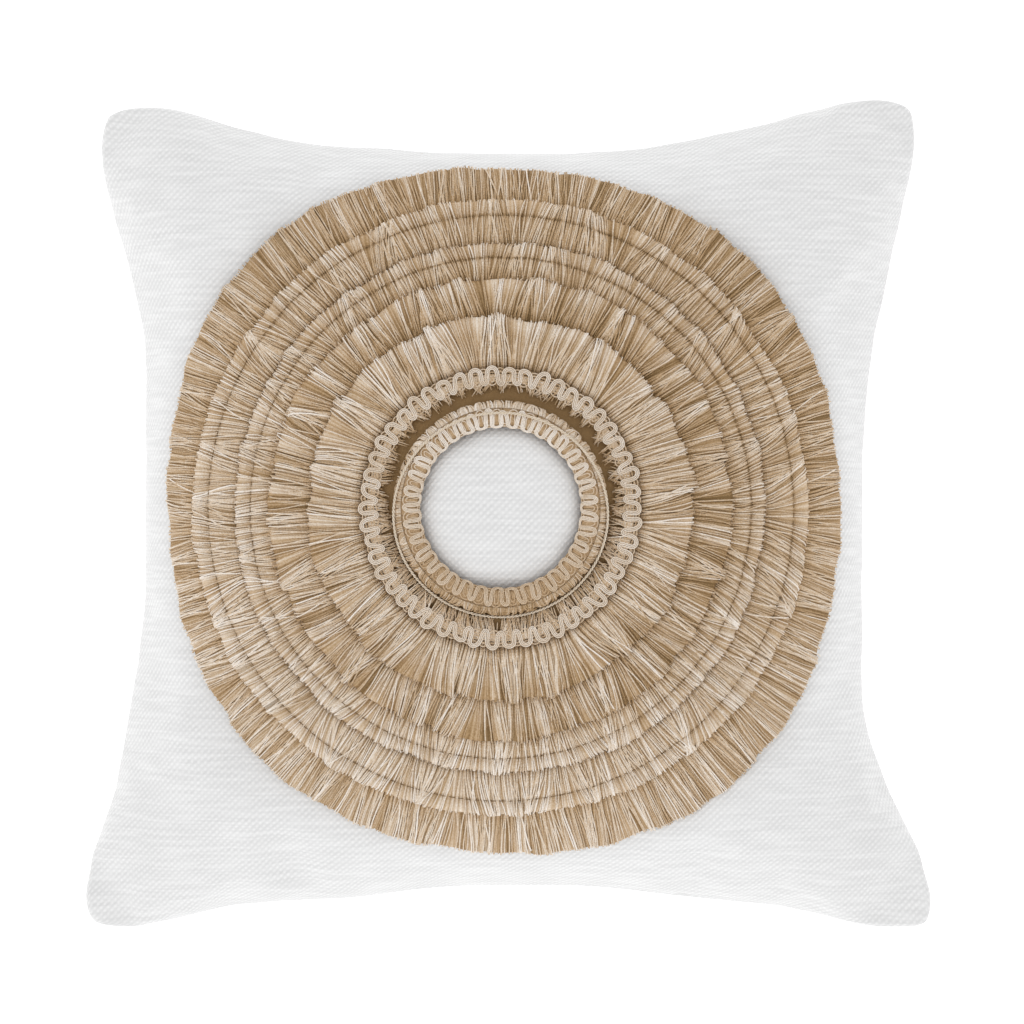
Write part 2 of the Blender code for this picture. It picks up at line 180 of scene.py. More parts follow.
# --- Zip ------------------------------------------------------------------------------------
# A closed white coil zip in the bottom seam: two woven tapes, a spun nylon coil sewn along each,
# two crimped stops, and a zinc slider with a pull, both stove-enamelled white.
COIL_PITCH = 0.0016
COIL_WIRE = 0.00030
COIL_TURN_POINTS = 10
COIL_REACH_OVER = 0.0003  # how far each coil hooks past the seam plane into the other
TAPE_RIB = 0.0012
METAL_ROUNDING = 0.00022


def tubes(centres, radii, lift, sides=6, closed=False):
    """Round tubes along many paths at once. Point j of ring i sits at centre + radius * (across *
    cos a + up * sin a), where across is the path's direction crossed with the lift direction, up
    completes the frame and a steps once round. Open ends are capped. Returns the points, the
    quads and each quad corner's (turn, metres along) coordinates."""
    count, rings = radii.shape
    if closed:
        along = np.roll(centres, -1, axis=1) - np.roll(centres, 1, axis=1)
    else:
        along = np.gradient(centres, axis=1)
    along = along / np.linalg.norm(along, axis=2, keepdims=True)
    across = np.cross(along, np.broadcast_to(lift, centres.shape))
    across = across / np.maximum(np.linalg.norm(across, axis=2, keepdims=True), 1e-9)
    up = np.cross(across, along)
    turn = (np.arange(sides) + 0.5) * math.tau / sides
    ring = across[:, :, None] * np.cos(turn)[:, None] + up[:, :, None] * np.sin(turn)[:, None]
    points = centres[:, :, None] + radii[:, :, None, None] * ring
    index = np.arange(count * rings * sides).reshape(count, rings, sides)
    last = rings if closed else rings - 1
    start = index[:, :last]
    end = np.roll(index, -1, axis=1)[:, :last]
    walls = np.stack((start, end, np.roll(end, -1, axis=2), np.roll(start, -1, axis=2)), axis=-1)
    steps = np.linalg.norm(np.roll(centres, -1, axis=1) - centres, axis=2)
    reach = np.concatenate((np.zeros((count, 1)), np.cumsum(steps, axis=1)), axis=1)
    share = np.arange(sides + 1) / sides
    corner_turn = np.stack((share[:-1], share[:-1], share[1:], share[1:]), axis=-1)
    corner_turn = np.broadcast_to(corner_turn, (count, last, sides, 4))
    near = reach[:, :last, None]
    far = reach[:, 1:last + 1, None]
    corner_reach = np.broadcast_to(np.stack((near, far, far, near), axis=-1), (count, last, sides, 4))
    quads = [walls.reshape(-1, 4)]
    corners = [np.stack((corner_turn, corner_reach), axis=-1).reshape(-1, 2)]
    if not closed:
        for fan in range(1, sides // 2):
            low = index[:, 0][:, (0, 2 * fan - 1, 2 * fan, 2 * fan + 1)]
            high = index[:, -1][:, (2 * fan + 1, 2 * fan, 2 * fan - 1, 0)]
            quads += [low, high]
            corners += [np.zeros((count * 4, 2)), np.repeat(reach[:, -2], 4)[:, None] * (0.0, 1.0)]
    return points.reshape(-1, 3), np.concatenate(quads), np.concatenate(corners)


def make_piece(name, surface, material, node):
    """A mesh object from its points (n, 3), quads (m, 4), corner coordinates (4m, 2) and, for jute,
    each point's shade. It rides on the cushion, takes the given material and replaces a CAD node."""
    points, quads, corners, *shades = surface
    mesh = bpy.data.meshes.new(name)
    mesh.vertices.add(len(points))
    mesh.vertices.foreach_set("co", points.astype(np.float32).ravel())
    mesh.loops.add(quads.size)
    mesh.loops.foreach_set("vertex_index", quads.astype(np.int32).ravel())
    mesh.polygons.add(len(quads))
    mesh.polygons.foreach_set("loop_start", np.arange(0, quads.size, 4, dtype=np.int32))
    mesh.polygons.foreach_set("use_smooth", np.ones(len(quads), bool))
    mesh.uv_layers.new(name="lay").data.foreach_set("uv", corners.astype(np.float32).ravel())
    for shade in shades:
        attribute = mesh.attributes.new("shade", "FLOAT", "POINT")
        attribute.data.foreach_set("value", shade.astype(np.float32).ravel())
    mesh.update(calc_edges=True)
    mesh.materials.append(material)
    obj = place(name, mesh)
    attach(obj, "cushion")
    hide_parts(node)
    return obj


# Polyester zip tape: woven twill ribbon with fine ribs along it
tape = two_tone("woven_zip_tape", "TexWave",
                {"Scale": 0.5 / TAPE_RIB, "Distortion": 0.6, "Detail Scale": 2.0}, ("#d9d8d4", "#f1f0ed"),
                {"Roughness": 0.8}, relief=0.0002, wave_type="BANDS", bands_direction="DIAGONAL")
finish_node("zip_tape_front", tape)
finish_node("zip_tape_back", tape)

# Nylon monofilament: translucent white, smooth, with a slight cloudiness along it
nylon = two_tone("nylon_monofilament", "TexNoise", {"Scale": 400.0, "Detail": 2.0}, ("#e4e4df", "#f6f6f3"),
                 {"Roughness": 0.35})
for side, sign in (("front", 1.0), ("back", -1.0)):
    low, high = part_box(f"zip_coil_{side}")
    inner_z = SEAM_Z - sign * COIL_REACH_OVER
    outer_z = high.z if sign > 0 else low.z
    turns = int((high.x - low.x) / COIL_PITCH)
    angle = np.arange(turns * COIL_TURN_POINTS) * math.tau / COIL_TURN_POINTS + (1.0 + sign) * math.pi / 4.0
    half_y = (high.y - low.y) / 2.0 - COIL_WIRE
    half_z = abs(outer_z - inner_z) / 2.0 - COIL_WIRE
    line = np.stack((low.x + COIL_WIRE + COIL_PITCH * np.arange(len(angle)) / COIL_TURN_POINTS,
                     (low.y + high.y) / 2.0 + half_y * np.cos(angle),
                     (inner_z + outer_z) / 2.0 + half_z * np.sin(angle)), axis=-1)[None]
    wound = tubes(line, np.full(line.shape[:2], COIL_WIRE), np.array((1.0, 0.0, 0.0)))
    make_piece(f"coil_{side}", wound, nylon, f"zip_coil_{side}")


def rounded_copy(name, node, material, body):
    """A CAD node's mesh, merged and with its coplanar triangles joined, under a narrow Bevel."""
    bm = bmesh.new()
    bm.from_mesh(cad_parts[node].data)
    bmesh.ops.remove_doubles(bm, verts=bm.verts, dist=1e-6)
    bmesh.ops.dissolve_limit(bm, angle_limit=math.radians(1.0), verts=bm.verts, edges=bm.edges)
    mesh = bpy.data.meshes.new(name)
    bm.to_mesh(mesh)
    bm.free()
    mesh.materials.append(material)
    mesh.shade_smooth()
    obj = place(name, mesh)
    bevel = obj.modifiers.new("rounding", "BEVEL")
    bevel.width = METAL_ROUNDING
    bevel.segments = 3
    bevel.limit_method = "ANGLE"
    bevel.angle_limit = math.radians(35.0)
    bevel.harden_normals = True
    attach(obj, body)
    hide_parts(node)


# Stove enamel on die-cast zinc: glossy white, very slightly orange-peeled
enamel = two_tone("stove_enamel_on_zinc", "TexNoise", {"Scale": 1500.0, "Detail": 2.0},
                  ("#e6e5e1", "#f3f2ef"), {"Roughness": 0.28}, relief=0.00003)
for node, body in (("zip_top_stop", "cushion"), ("zip_bottom_stop", "cushion"),
                   ("zip_slider", "zip_slider"), ("zip_pull", "zip_pull")):
    rounded_copy(f"enamelled_{node[4:]}", node, enamel, body)


# --- Cover ----------------------------------------------------------------------------------
# Two squares of white slub cotton twill, sewn with right sides together, turned and filled. The
# knife-edge seam pulls in between the corners, and the cloth puckers softly along it.
HEART = (-0.0027, -0.0024)  # middle of the pulled-in sides
HALF_WIDTH = 0.1815
HALF_LENGTH = 0.1850
TIPS = {  # (right, top) signs: half width and half length at that corner, before it is rounded
    (-1, 1): (0.2045, 0.2085), (1, 1): (0.2090, 0.2130),
    (-1, -1): (0.2130, 0.2075), (1, -1): (0.2185, 0.2080),
}
SIDE_FLARES = {  # (right, top) signs: shares of the half length between which the side widens
    (-1, 1): (0.37, 0.95), (1, 1): (0.40, 0.97), (-1, -1): (0.40, 0.97), (1, -1): (0.42, 1.00),
}
END_FLARES = {  # the same for the top and bottom sides
    (-1, 1): (0.40, 0.90), (1, 1): (0.30, 0.95), (-1, -1): (0.40, 0.97), (1, -1): (0.40, 0.97),
}
SWELLS = {  # each side's soft swells: (middle along the side, spread, how far out)
    "left": ((-0.47, 0.17, 0.0070),), "right": ((0.52, 0.22, 0.0070),),
    "top": ((-0.42, 0.20, 0.0038), (0.42, 0.17, 0.0034)),
    "bottom": ((-0.42, 0.20, 0.0070), (0.46, 0.18, 0.0060)),
}
CORNER_CUT = 0.024
CORNER_POWER = 10
FRONT_CROWN = 0.075
BACK_CROWN = 0.068
EDGE_GAP = 0.0011
STAND_OFF = 0.962  # share of its distance from the heart at which the fringe reads the cover's height
MEDALLION = (-0.0042, 0.0032)
OPENING = 0.0405
OPENING_SWELL = 0.0092  # how far the cloth bulges up inside the ring of jute
OPENING_FLATNESS = 0.3  # power of the bulge's profile: the less, the flatter its middle
CELLS = 72
CLOTH_CAP = 0.007  # furthest that a point may move when the cover is blown up
PRESSURE = 4.0
CLOTH_GROWTH = -0.025  # rest lengths grow by this share, which leaves the cloth a little slack
FRAMES = 20
COVERED_BY_FRINGE = (0.170, 0.196)  # the blown shape fades in between these radii of the medallion
ZIP_LIP = 0.0037
ZIP_LIP_SPAN = (0.124, 0.142)
ZIP_LIP_FADE = 8
CLOTH_THICKNESS = 0.0007
SEAM_HALF = 0.0001  # half the gap between the two panels at the closed seam
ALLOWANCE = ((0.0011, 0.0), (0.0070, 0.0))  # turned edge: inwards, and away from the seam plane
LIP_FOLD = ((0.0011, 0.0004), (0.0031, 0.0036))  # the same where the edge is folded back along the zip
PUCKER_DEPTH = 0.00189  # e times the depth of the deepest fold
PUCKER_WIDTH = 0.030
PUCKER_PITCHES = (0.0113, 0.0171, 0.0290)
RIPPLE_DEPTH = 0.0005  # waves of the seam's own line
RIPPLE_WIDTH = 0.020
RIPPLE_PITCHES = (0.021, 0.034, 0.055)
ZIP_HOLD = 0.85  # share of both that the zip's tapes take out of the cloth beside them
TAPE_BULGE = 0.0018  # height of the cloth's bulge over the tapes' edges
TAPE_BULGE_AT = 0.005  # and its distance from the seam
SEAM_INSET = 0.0028
SEAM_THREAD = 0.0004
THREAD_WIDTH = 0.00089
TWILL_REPEAT = 4  # threads
SEED = 7


def smooth_step(value, start, end):
    """0 below start, 1 above end and 3t^2 - 2t^3 between them."""
    t = np.clip((value - start) / (end - start), 0.0, 1.0)
    return t * t * (3.0 - 2.0 * t)


def by_corner(table, u, v, item):
    """The table's item for the corner that each point's quarter belongs to."""
    top = np.where(u < 0, table[(-1, 1)][item], table[(1, 1)][item])
    bottom = np.where(u < 0, table[(-1, -1)][item], table[(1, -1)][item])
    return np.where(v > 0, top, bottom)


def swell(side, along):
    """Sum of amount * exp(-((along - middle) / spread)^2) over the side's swells."""
    return sum(out * np.exp(-((along - middle) / spread) ** 2) for middle, spread, out in SWELLS[side])


def half_sides(u, v):
    """Half width at height v and half length at u: the middle value, flared out to the tip's and
    with the side's swells added."""
    flare_x = smooth_step(abs(v), by_corner(SIDE_FLARES, u, v, 0), by_corner(SIDE_FLARES, u, v, 1))
    flare_y = smooth_step(abs(u), by_corner(END_FLARES, u, v, 0), by_corner(END_FLARES, u, v, 1))
    width = HALF_WIDTH + (by_corner(TIPS, u, v, 0) - HALF_WIDTH) * flare_x
    length = HALF_LENGTH + (by_corner(TIPS, u, v, 1) - HALF_LENGTH) * flare_y
    width = width + np.where(u < 0, swell("left", v), swell("right", v))
    length = length + np.where(v < 0, swell("bottom", u), swell("top", u))
    return width, length


def cover_uv(x, y):
    """Cushion coordinates of a plan position, found by repeated division by the half sides."""
    u = (x - HEART[0]) / HALF_WIDTH
    v = (y - HEART[1]) / HALF_LENGTH
    for _ in range(16):
        width, length = half_sides(np.clip(u, -1.2, 1.2), np.clip(v, -1.2, 1.2))
        u = (x - HEART[0]) / width
        v = (y - HEART[1]) / length
    return u, v


def fullness(u, v):
    """Square root of (1 - u^2)(1 - v^2): 1 at the heart and 0 along the whole seam."""
    return np.sqrt(np.clip((1.0 - u * u) * (1.0 - v * v), 0.0, 1.0))


def drape_height(x, y):
    """Height of the cover's front under the fringe, with the plan position drawn in a little
    because stiff fringe stands off where the cover falls away."""
    u, v = cover_uv(x, y)
    return SEAM_Z + EDGE_GAP + FRONT_CROWN * fullness(STAND_OFF * u, STAND_OFF * v)


def waves(position, pitches, seed):
    """Sum of one sine for each pitch, with random phase and an amplitude of 1 over their number."""
    phases = np.random.default_rng(seed).uniform(0.0, math.tau, len(pitches))
    return sum(np.sin(position * math.tau / p + f) for p, f in zip(pitches, phases)) / len(pitches)


def grid_quads(rows, columns):
    """Corner numbers of a grid's cells, with the columns along X and the rows along Y."""
    first = (np.arange(rows - 1)[:, None] * columns + np.arange(columns - 1)).reshape(-1)
    return np.stack((first, first + 1, first + columns + 1, first + columns), axis=-1)


# Cushion coordinates of the panels' points, closer together towards the seam
steps = np.linspace(-1.0, 1.0, CELLS + 1)
steps = 0.35 * steps + 0.65 * np.sin(steps * math.pi / 2.0)
grid_u, grid_v = np.meshgrid(steps, steps)
half_x, half_y = half_sides(grid_u, grid_v)
rounding = 1.0 - CORNER_CUT * (grid_u * grid_v) ** (2 * CORNER_POWER)
plan_x = HEART[0] + grid_u * half_x * rounding
plan_y = HEART[1] + grid_v * half_y * rounding
full = fullness(grid_u, grid_v)
edge = (np.abs(grid_u) == 1.0) | (np.abs(grid_v) == 1.0)
from_medallion = np.hypot(plan_x - MEDALLION[0], plan_y - MEDALLION[1])
in_opening = OPENING_SWELL * np.clip(1.0 - (from_medallion / OPENING) ** 2, 0.0, 1.0) ** OPENING_FLATNESS
front = np.stack((plan_x, plan_y, SEAM_Z + FRONT_CROWN * full + in_opening), axis=-1)
back = np.stack((plan_x, plan_y, SEAM_Z - BACK_CROWN * full), axis=-1)
number = np.arange(edge.size).reshape(edge.shape)
rim = np.concatenate((number[0, :-1], number[:-1, -1], number[-1, :0:-1], number[:0:-1, 0]))  # once round


def blow_up(front, back):
    """Joins both panels along the seam, pins it, and lets cloth under pressure settle between frame
    1 and the last. Returns the panels, each point moved by no more than the cap."""
    cells = grid_quads(*edge.shape)
    inner = ~edge.reshape(-1)
    back_number = np.where(inner, edge.size + np.cumsum(inner) - 1, np.arange(edge.size))
    mesh = bpy.data.meshes.new("blown")
    start = np.concatenate((front.reshape(-1, 3), back.reshape(-1, 3)[inner]))
    mesh.from_pydata(start.tolist(), [], np.concatenate((cells, back_number[cells][:, ::-1])).tolist())
    mesh.update()
    obj = place("blown", mesh)
    obj.vertex_groups.new(name="seam").add(np.flatnonzero(~inner).tolist(), 1.0, "ADD")
    cloth = obj.modifiers.new("cloth", "CLOTH")
    cloth.settings.quality = 5
    cloth.settings.use_pressure = True
    cloth.settings.uniform_pressure_force = PRESSURE
    cloth.settings.shrink_min = CLOTH_GROWTH
    cloth.settings.bending_stiffness = 0.4
    cloth.settings.vertex_group_mass = "seam"
    cloth.settings.effector_weights.gravity = 0.0
    for frame_number in range(1, FRAMES + 1):
        bpy.context.scene.frame_set(frame_number)
    settled = obj.evaluated_get(bpy.context.evaluated_depsgraph_get()).to_mesh()
    moved = np.empty(len(start) * 3, np.float32)
    settled.vertices.foreach_get("co", moved)
    bpy.data.objects.remove(obj)
    bpy.context.scene.frame_set(1)
    shift = moved.reshape(-1, 3) - start
    size = np.linalg.norm(shift, axis=1, keepdims=True)
    shift *= CLOTH_CAP * np.tanh(size / CLOTH_CAP) / np.maximum(size, 1e-9)
    end = start + shift
    return end[:edge.size].reshape(front.shape), end[back_number].reshape(back.shape)


blown_front, blown_back = blow_up(front, back)
bare = smooth_step(from_medallion, *COVERED_BY_FRINGE)[..., None]
front = front + (blown_front - front) * bare
back = blown_back

# Puckers: shallow folds that run in from the seam, deepest a little way in from it
inward = np.minimum((1.0 - np.abs(grid_u)) * HALF_WIDTH, (1.0 - np.abs(grid_v)) * HALF_LENGTH)
along_seam = np.where(np.abs(grid_u) > np.abs(grid_v), plan_y, plan_x)
fold = waves(along_seam, PUCKER_PITCHES, SEED) * np.exp(-inward / PUCKER_WIDTH) * inward / PUCKER_WIDTH
lip = ZIP_LIP * (1.0 - smooth_step(np.abs(plan_x), *ZIP_LIP_SPAN)) * ((1.0 - grid_v) / 2.0) ** ZIP_LIP_FADE
held = 1.0 - ZIP_HOLD * lip / ZIP_LIP
front[..., 2] += PUCKER_DEPTH * fold * held
back[..., 2] -= PUCKER_DEPTH * fold * held
ripple = RIPPLE_DEPTH * held * waves(along_seam, RIPPLE_PITCHES, SEED + 1) * np.exp(-inward / RIPPLE_WIDTH)
over_tape = TAPE_BULGE * (inward / TAPE_BULGE_AT) * np.exp(1.0 - inward / TAPE_BULGE_AT)
lip_rise = lip * (1.0 + (EDGE_GAP + over_tape) / ZIP_LIP)
for panel, side in ((front, 1.0), (back, -1.0)):
    panel[..., 0] += ripple * np.sign(grid_u) * (np.abs(grid_u) > np.abs(grid_v))
    panel[..., 1] += ripple * np.sign(grid_v) * (np.abs(grid_v) >= np.abs(grid_u))
    panel[..., 2] += side * (SEAM_HALF + lip_rise)
back[..., 2] = np.maximum(back[..., 2], 0.0)


def panel_piece(name, panel, side, material):
    """One panel: its grid, and two more rows of quads that turn its edge in, as seam allowance or,
    along the zip, as a fold. Corner coordinates are metres of cloth from the panel's middle."""
    rows, columns = edge.shape
    at_zip = lip.reshape(-1)[rim][:, None] / ZIP_LIP
    outline = panel.reshape(-1, 3)[rim]
    to_heart = np.stack((HEART[0] - outline[:, 0], HEART[1] - outline[:, 1]), axis=-1)
    to_heart = to_heart / np.linalg.norm(to_heart, axis=1, keepdims=True)
    to_heart = to_heart * (1.0 - at_zip) + np.array((0.0, 1.0)) * at_zip
    step_x = np.linalg.norm(np.diff(panel, axis=1, prepend=panel[:, :1]), axis=2)
    step_y = np.linalg.norm(np.diff(panel, axis=0, prepend=panel[:1]), axis=2)
    cloth_x = np.cumsum(step_x, axis=1)
    cloth_y = np.cumsum(step_y, axis=0)
    cloth_x = cloth_x - cloth_x[:, columns // 2][:, None]
    cloth_y = cloth_y - cloth_y[rows // 2]
    cloth = [np.stack((cloth_x, cloth_y), axis=-1).reshape(-1, 2)]
    points = [panel.reshape(-1, 3)]
    quads = [grid_quads(rows, columns)]
    outer = rim
    for row, (plain, folded) in enumerate(zip(ALLOWANCE, LIP_FOLD)):
        inwards, rise = (np.array(plain) * (1.0 - at_zip) + np.array(folded) * at_zip).T
        ring = outline.copy()
        ring[:, :2] += to_heart * inwards[:, None]
        ring[:, 2] += side * rise * at_zip[:, 0]
        points.append(ring)
        cloth.append(cloth[0][rim] * (1.0 + 0.02 * (row + 1)))
        inner = edge.size + row * len(rim) + np.arange(len(rim))
        quads.append(np.stack((np.roll(outer, -1), outer, inner, np.roll(inner, -1)), axis=-1))
        outer = inner
    quads = np.concatenate(quads)[:, ::int(side)]
    cloth = np.concatenate(cloth)
    surface = (np.concatenate(points), quads, cloth[quads.reshape(-1)])
    piece = make_piece(name, surface, material, f"{name}_panel")
    finer = piece.modifiers.new("finer", "SUBSURF")
    finer.levels = 1
    finer.render_levels = 1
    wall = piece.modifiers.new("cloth_thickness", "SOLIDIFY")
    wall.thickness = CLOTH_THICKNESS
    wall.offset = -1.0


# Slub cotton twill: 2/2 weave whose floats step one thread each row and so line up in diagonals,
# of matt ring-spun yarn with thick places that show as short level streaks, and a rare brown fleck.
# The colour follows the relief: painted shade in the weave's hollows, painted light on floats and slubs
twill, tree, shader = new_material("slub_cotton_twill")
where = add_node(tree, "UVMap", {}, uv_map="lay")
uneven = add_node(tree, "TexNoise", {"Vector": where.outputs[0], "Scale": 120.0, "Detail": 3.0})
sway = add_node(tree, "VectorMath", {0: uneven.outputs["Color"], 1: (0.0008, 0.0008, 0.0)},
                operation="MULTIPLY")
laid = add_node(tree, "VectorMath", {0: where.outputs[0], 1: sway.outputs[0]}, operation="ADD")
split = add_node(tree, "SeparateXYZ", {0: laid.outputs[0]})
turn_rate = math.tau / (TWILL_REPEAT * THREAD_WIDTH)
across = add_node(tree, "Math", {0: split.outputs["X"], 1: turn_rate}, operation="MULTIPLY")
down = add_node(tree, "Math", {0: split.outputs["Y"], 1: turn_rate}, operation="MULTIPLY")
lag = add_node(tree, "Math", {0: across.outputs[0], 1: down.outputs[0]}, operation="SUBTRACT")
total = add_node(tree, "Math", {0: across.outputs[0], 1: down.outputs[0]}, operation="ADD")
wale = add_node(tree, "Math", {0: lag.outputs[0]}, operation="COSINE")
cross = add_node(tree, "Math", {0: total.outputs[0]}, operation="COSINE")
beading = add_node(tree, "Math", {0: cross.outputs[0], 1: 0.5, 2: 1.0}, operation="MULTIPLY_ADD")
beaded = add_node(tree, "Math", {0: wale.outputs[0], 1: beading.outputs[0]}, operation="MULTIPLY")
twilled = add_node(tree, "Math", {0: cross.outputs[0], 1: 0.50, 2: beaded.outputs[0]},
                   operation="MULTIPLY_ADD")
crispness = add_node(tree, "MapRange", {"Value": uneven.outputs["Fac"], "From Min": 0.3, "From Max": 0.7,
                     "To Min": 0.5, "To Max": 1.3})
relief = add_node(tree, "Math", {0: twilled.outputs[0], 1: crispness.outputs[0]}, operation="MULTIPLY")
streak_place = add_node(tree, "VectorMath", {0: where.outputs[0], 1: (40.0, 460.0, 1.0)},
                        operation="MULTIPLY")
slubs = add_node(tree, "TexNoise", {"Vector": streak_place.outputs[0], "Scale": 1.0, "Detail": 2.0})
slub = add_node(tree, "MapRange", {"Value": slubs.outputs["Fac"], "From Min": 0.40, "From Max": 0.66})
height = add_node(tree, "Math", {0: slub.outputs[0], 1: 1.5, 2: relief.outputs[0]},
                  operation="MULTIPLY_ADD")
# Painted shade and light at thread scale: lower relief gives a darker colour, higher a lighter one
weave_tone = add_node(tree, "MapRange", {"Value": height.outputs[0], "From Min": -1.5, "From Max": 3.0})
yarn_colour_and_shade = add_node(tree, "Mix", {0: weave_tone.outputs[0], 6: linear("#d9d9d9"), 7: linear("#f4f4f4")},
                       data_type="RGBA")
fleck_place = add_node(tree, "VectorMath", {0: where.outputs[0], 1: (300.0, 900.0, 1.0)},
                       operation="MULTIPLY")
flecks = add_node(tree, "TexNoise", {"Vector": fleck_place.outputs[0], "Scale": 1.0, "Detail": 1.0})
fleck = add_node(tree, "MapRange", {"Value": flecks.outputs["Fac"], "From Min": 0.815, "From Max": 0.86})
colour = add_node(tree, "Mix", {0: fleck.outputs[0], 6: yarn_colour_and_shade.outputs[2], 7: linear("#a98f6c")},
                  data_type="RGBA")
bump = add_node(tree, "Bump", {"Height": height.outputs[0], "Distance": 0.00010, "Strength": 0.6})
tree.links.new(colour.outputs[2], shader.inputs["Base Color"])
tree.links.new(bump.outputs[0], shader.inputs["Normal"])
shader.inputs["Roughness"].default_value = 0.9
shader.inputs["Specular IOR Level"].default_value = 0.2
panel_piece("front", front, 1.0, twill)
panel_piece("back", back, -1.0, twill)

# Spun polyester sewing thread, white, in the seam
thread_white = two_tone("spun_polyester_thread", "TexWave", {"Scale": 700.0}, ("#d5d4d0", "#f2f1ee"),
                        {"Roughness": 0.6}, wave_type="BANDS", bands_direction="DIAGONAL")

line = np.stack((plan_x, plan_y, np.full_like(plan_x, SEAM_Z)), axis=-1).reshape(-1, 3)[rim]
sewn = (line[:, 1] > HEART[1] - 0.7 * HALF_LENGTH) | (np.abs(line[:, 0]) > ZIP_LIP_SPAN[1])
start = np.flatnonzero(sewn & ~np.roll(sewn, 1))[0]
line = np.roll(line, -start, axis=0)[np.roll(sewn, -start)]
to_heart = np.array((*HEART, SEAM_Z)) - line
line = line + to_heart / np.linalg.norm(to_heart, axis=1, keepdims=True) * SEAM_INSET
sewing = tubes(line[None], np.full((1, len(line)), SEAM_THREAD), np.array((0.0, 0.0, 1.0)))
make_piece("seam_stitching", sewing, thread_white, "seam_thread")


# --- Felt backing ---------------------------------------------------------------------------
# A ring of needled brown jute felt, cut flat and laid on the front; every fringe and braid is
# sewn to it, and it shows as the dark floor of the groove between the two braids.
FELT_RADII = (0.0395, 0.151)
FELT_TOP = 0.0016
FELT_THICKNESS = 0.0008
FELT_STEPS = (240, 24)


def ring_surface(radii, heights, around):
    """Points at angle a and radius r from the medallion's middle, at the drape's height plus h."""
    a = np.arange(around) * math.tau / around
    x = MEDALLION[0] + radii[:, None] * np.cos(a)
    y = MEDALLION[1] + radii[:, None] * np.sin(a)
    return np.stack((x, y, drape_height(x, y) + heights), axis=-1)


def ring_quads(rows, around):
    """Cells of a ring surface, closed round the ring, facing up when the radius grows by rows."""
    number = np.arange(rows * around).reshape(rows, around)
    near, far = number[:-1], number[1:]
    return np.stack((near, far, np.roll(far, -1, 1), np.roll(near, -1, 1)), axis=-1).reshape(-1, 4)


# Needled jute felt: short brown fibres pressed flat, matt, mottled at fibre scale
felt = two_tone("needled_jute_felt", "TexNoise", {"Scale": 900.0, "Detail": 6.0, "Roughness": 0.7},
                ("#7c6140", "#a0825b"), {"Roughness": 1.0, "Specular IOR Level": 0.1}, relief=0.0004)

radii = np.linspace(*FELT_RADII, FELT_STEPS[1])
top = ring_surface(radii, FELT_TOP, FELT_STEPS[0])
quads = ring_quads(len(radii), FELT_STEPS[0])
flat_place = top.reshape(-1, 3)[:, :2]
surface = (top.reshape(-1, 3), quads, flat_place[quads.reshape(-1)])
backing = make_piece("felt_backing", surface, felt, "medallion_backing")
wall = backing.modifiers.new("felt_thickness", "SOLIDIFY")
wall.thickness = FELT_THICKNESS
wall.offset = -1.0


# --- Fringe tiers ---------------------------------------------------------------------------
# Five rings of jute fringe, sewn down from the outside in. Each is a woven heading with a dense
# brush of cut single-ply yarns hanging outwards over the tier below. Tiers 2 and 3 are turned
# under at the edge and stitched across; tiers 4 and 5 hang free and curl up.
YARN_RADIUS = 0.00041
YARN_PITCH = 0.00112
TOP_YARNS = 1.32  # yarns lying on the mat, for each of its ribs
MAT_DROP = 0.00045  # how far the mat of packed yarns lies below the loose ones
MAT_THICKNESS = 0.0009
RIB_HEIGHT = 0.00016
HEADING_HEIGHTS = (0.0019, 0.0029)
HEADING_ROWS = 13
HEADING_STEPS = 720
HEADING_RIDGE = 0.00022
HEADINGS = {  # radii of each tier's heading
    1: (0.1385, 0.1470), 2: (0.1195, 0.1280), 3: (0.1000, 0.1085), 4: (0.0795, 0.0873), 5: (0.0600, 0.0685),
}
# Route of each tier's top yarns, over the edge and down: (radius, height above the drape)
ROUTES = {
    1: ((0.1466, 0.0030), (0.1510, 0.0035), (0.1560, 0.0036), (0.1610, 0.0035), (0.1655, 0.0031),
        (0.1683, 0.0026), (0.1695, 0.0018), (0.1692, 0.0010)),
    2: ((0.1276, 0.0030), (0.1340, 0.0046), (0.1400, 0.0060), (0.1432, 0.0057), (0.1446, 0.0050),
        (0.1460, 0.0061), (0.1482, 0.0074), (0.1507, 0.0072), (0.1522, 0.0058), (0.1517, 0.0045)),
    3: ((0.1081, 0.0030), (0.1135, 0.0046), (0.1185, 0.0060), (0.1219, 0.0057), (0.1233, 0.0050),
        (0.1247, 0.0061), (0.1267, 0.0074), (0.1290, 0.0072), (0.1304, 0.0058), (0.1299, 0.0045)),
    4: ((0.0869, 0.0030), (0.0925, 0.0046), (0.0985, 0.0058), (0.1040, 0.0070), (0.1090, 0.0081),
        (0.1122, 0.0080), (0.1138, 0.0069), (0.1135, 0.0056)),
    5: ((0.0684, 0.0030), (0.0735, 0.0046), (0.0790, 0.0060), (0.0845, 0.0076), (0.0895, 0.0089),
        (0.0928, 0.0088), (0.0945, 0.0077), (0.0942, 0.0064)),
}
# How each tier hangs: share of gathering, lean, heave of a gather, unevenness of the tips
HANGING = {
    1: (0.80, 0.22, 0.0008, 0.00020), 2: (0.40, 0.42, 0.0003, 0.00012), 3: (0.40, 0.34, 0.0003, 0.00012),
    4: (1.15, 0.34, 0.0013, 0.00030), 5: (1.00, 0.34, 0.0013, 0.00030),
}
GATHER_PITCHES = (0.0053, 0.0079, 0.0130, 0.0210)
LEAN_PITCHES = (0.029, 0.047, 0.085)
EDGE_PITCHES = (0.019, 0.033, 0.076)
OUTLINE_SIZE = 1.0145  # of tier 1, against its route
OUTLINE_WAVES = ((1, 0.010, -0.004), (2, -0.010, -0.0125), (3, 0.0, 0.004), (4, -0.018, 0.002))  # cos and sin
EDGE_WAVES = {1: 0.0013, 2: 0.0012, 3: 0.0013, 4: 0.0021, 5: 0.0024}
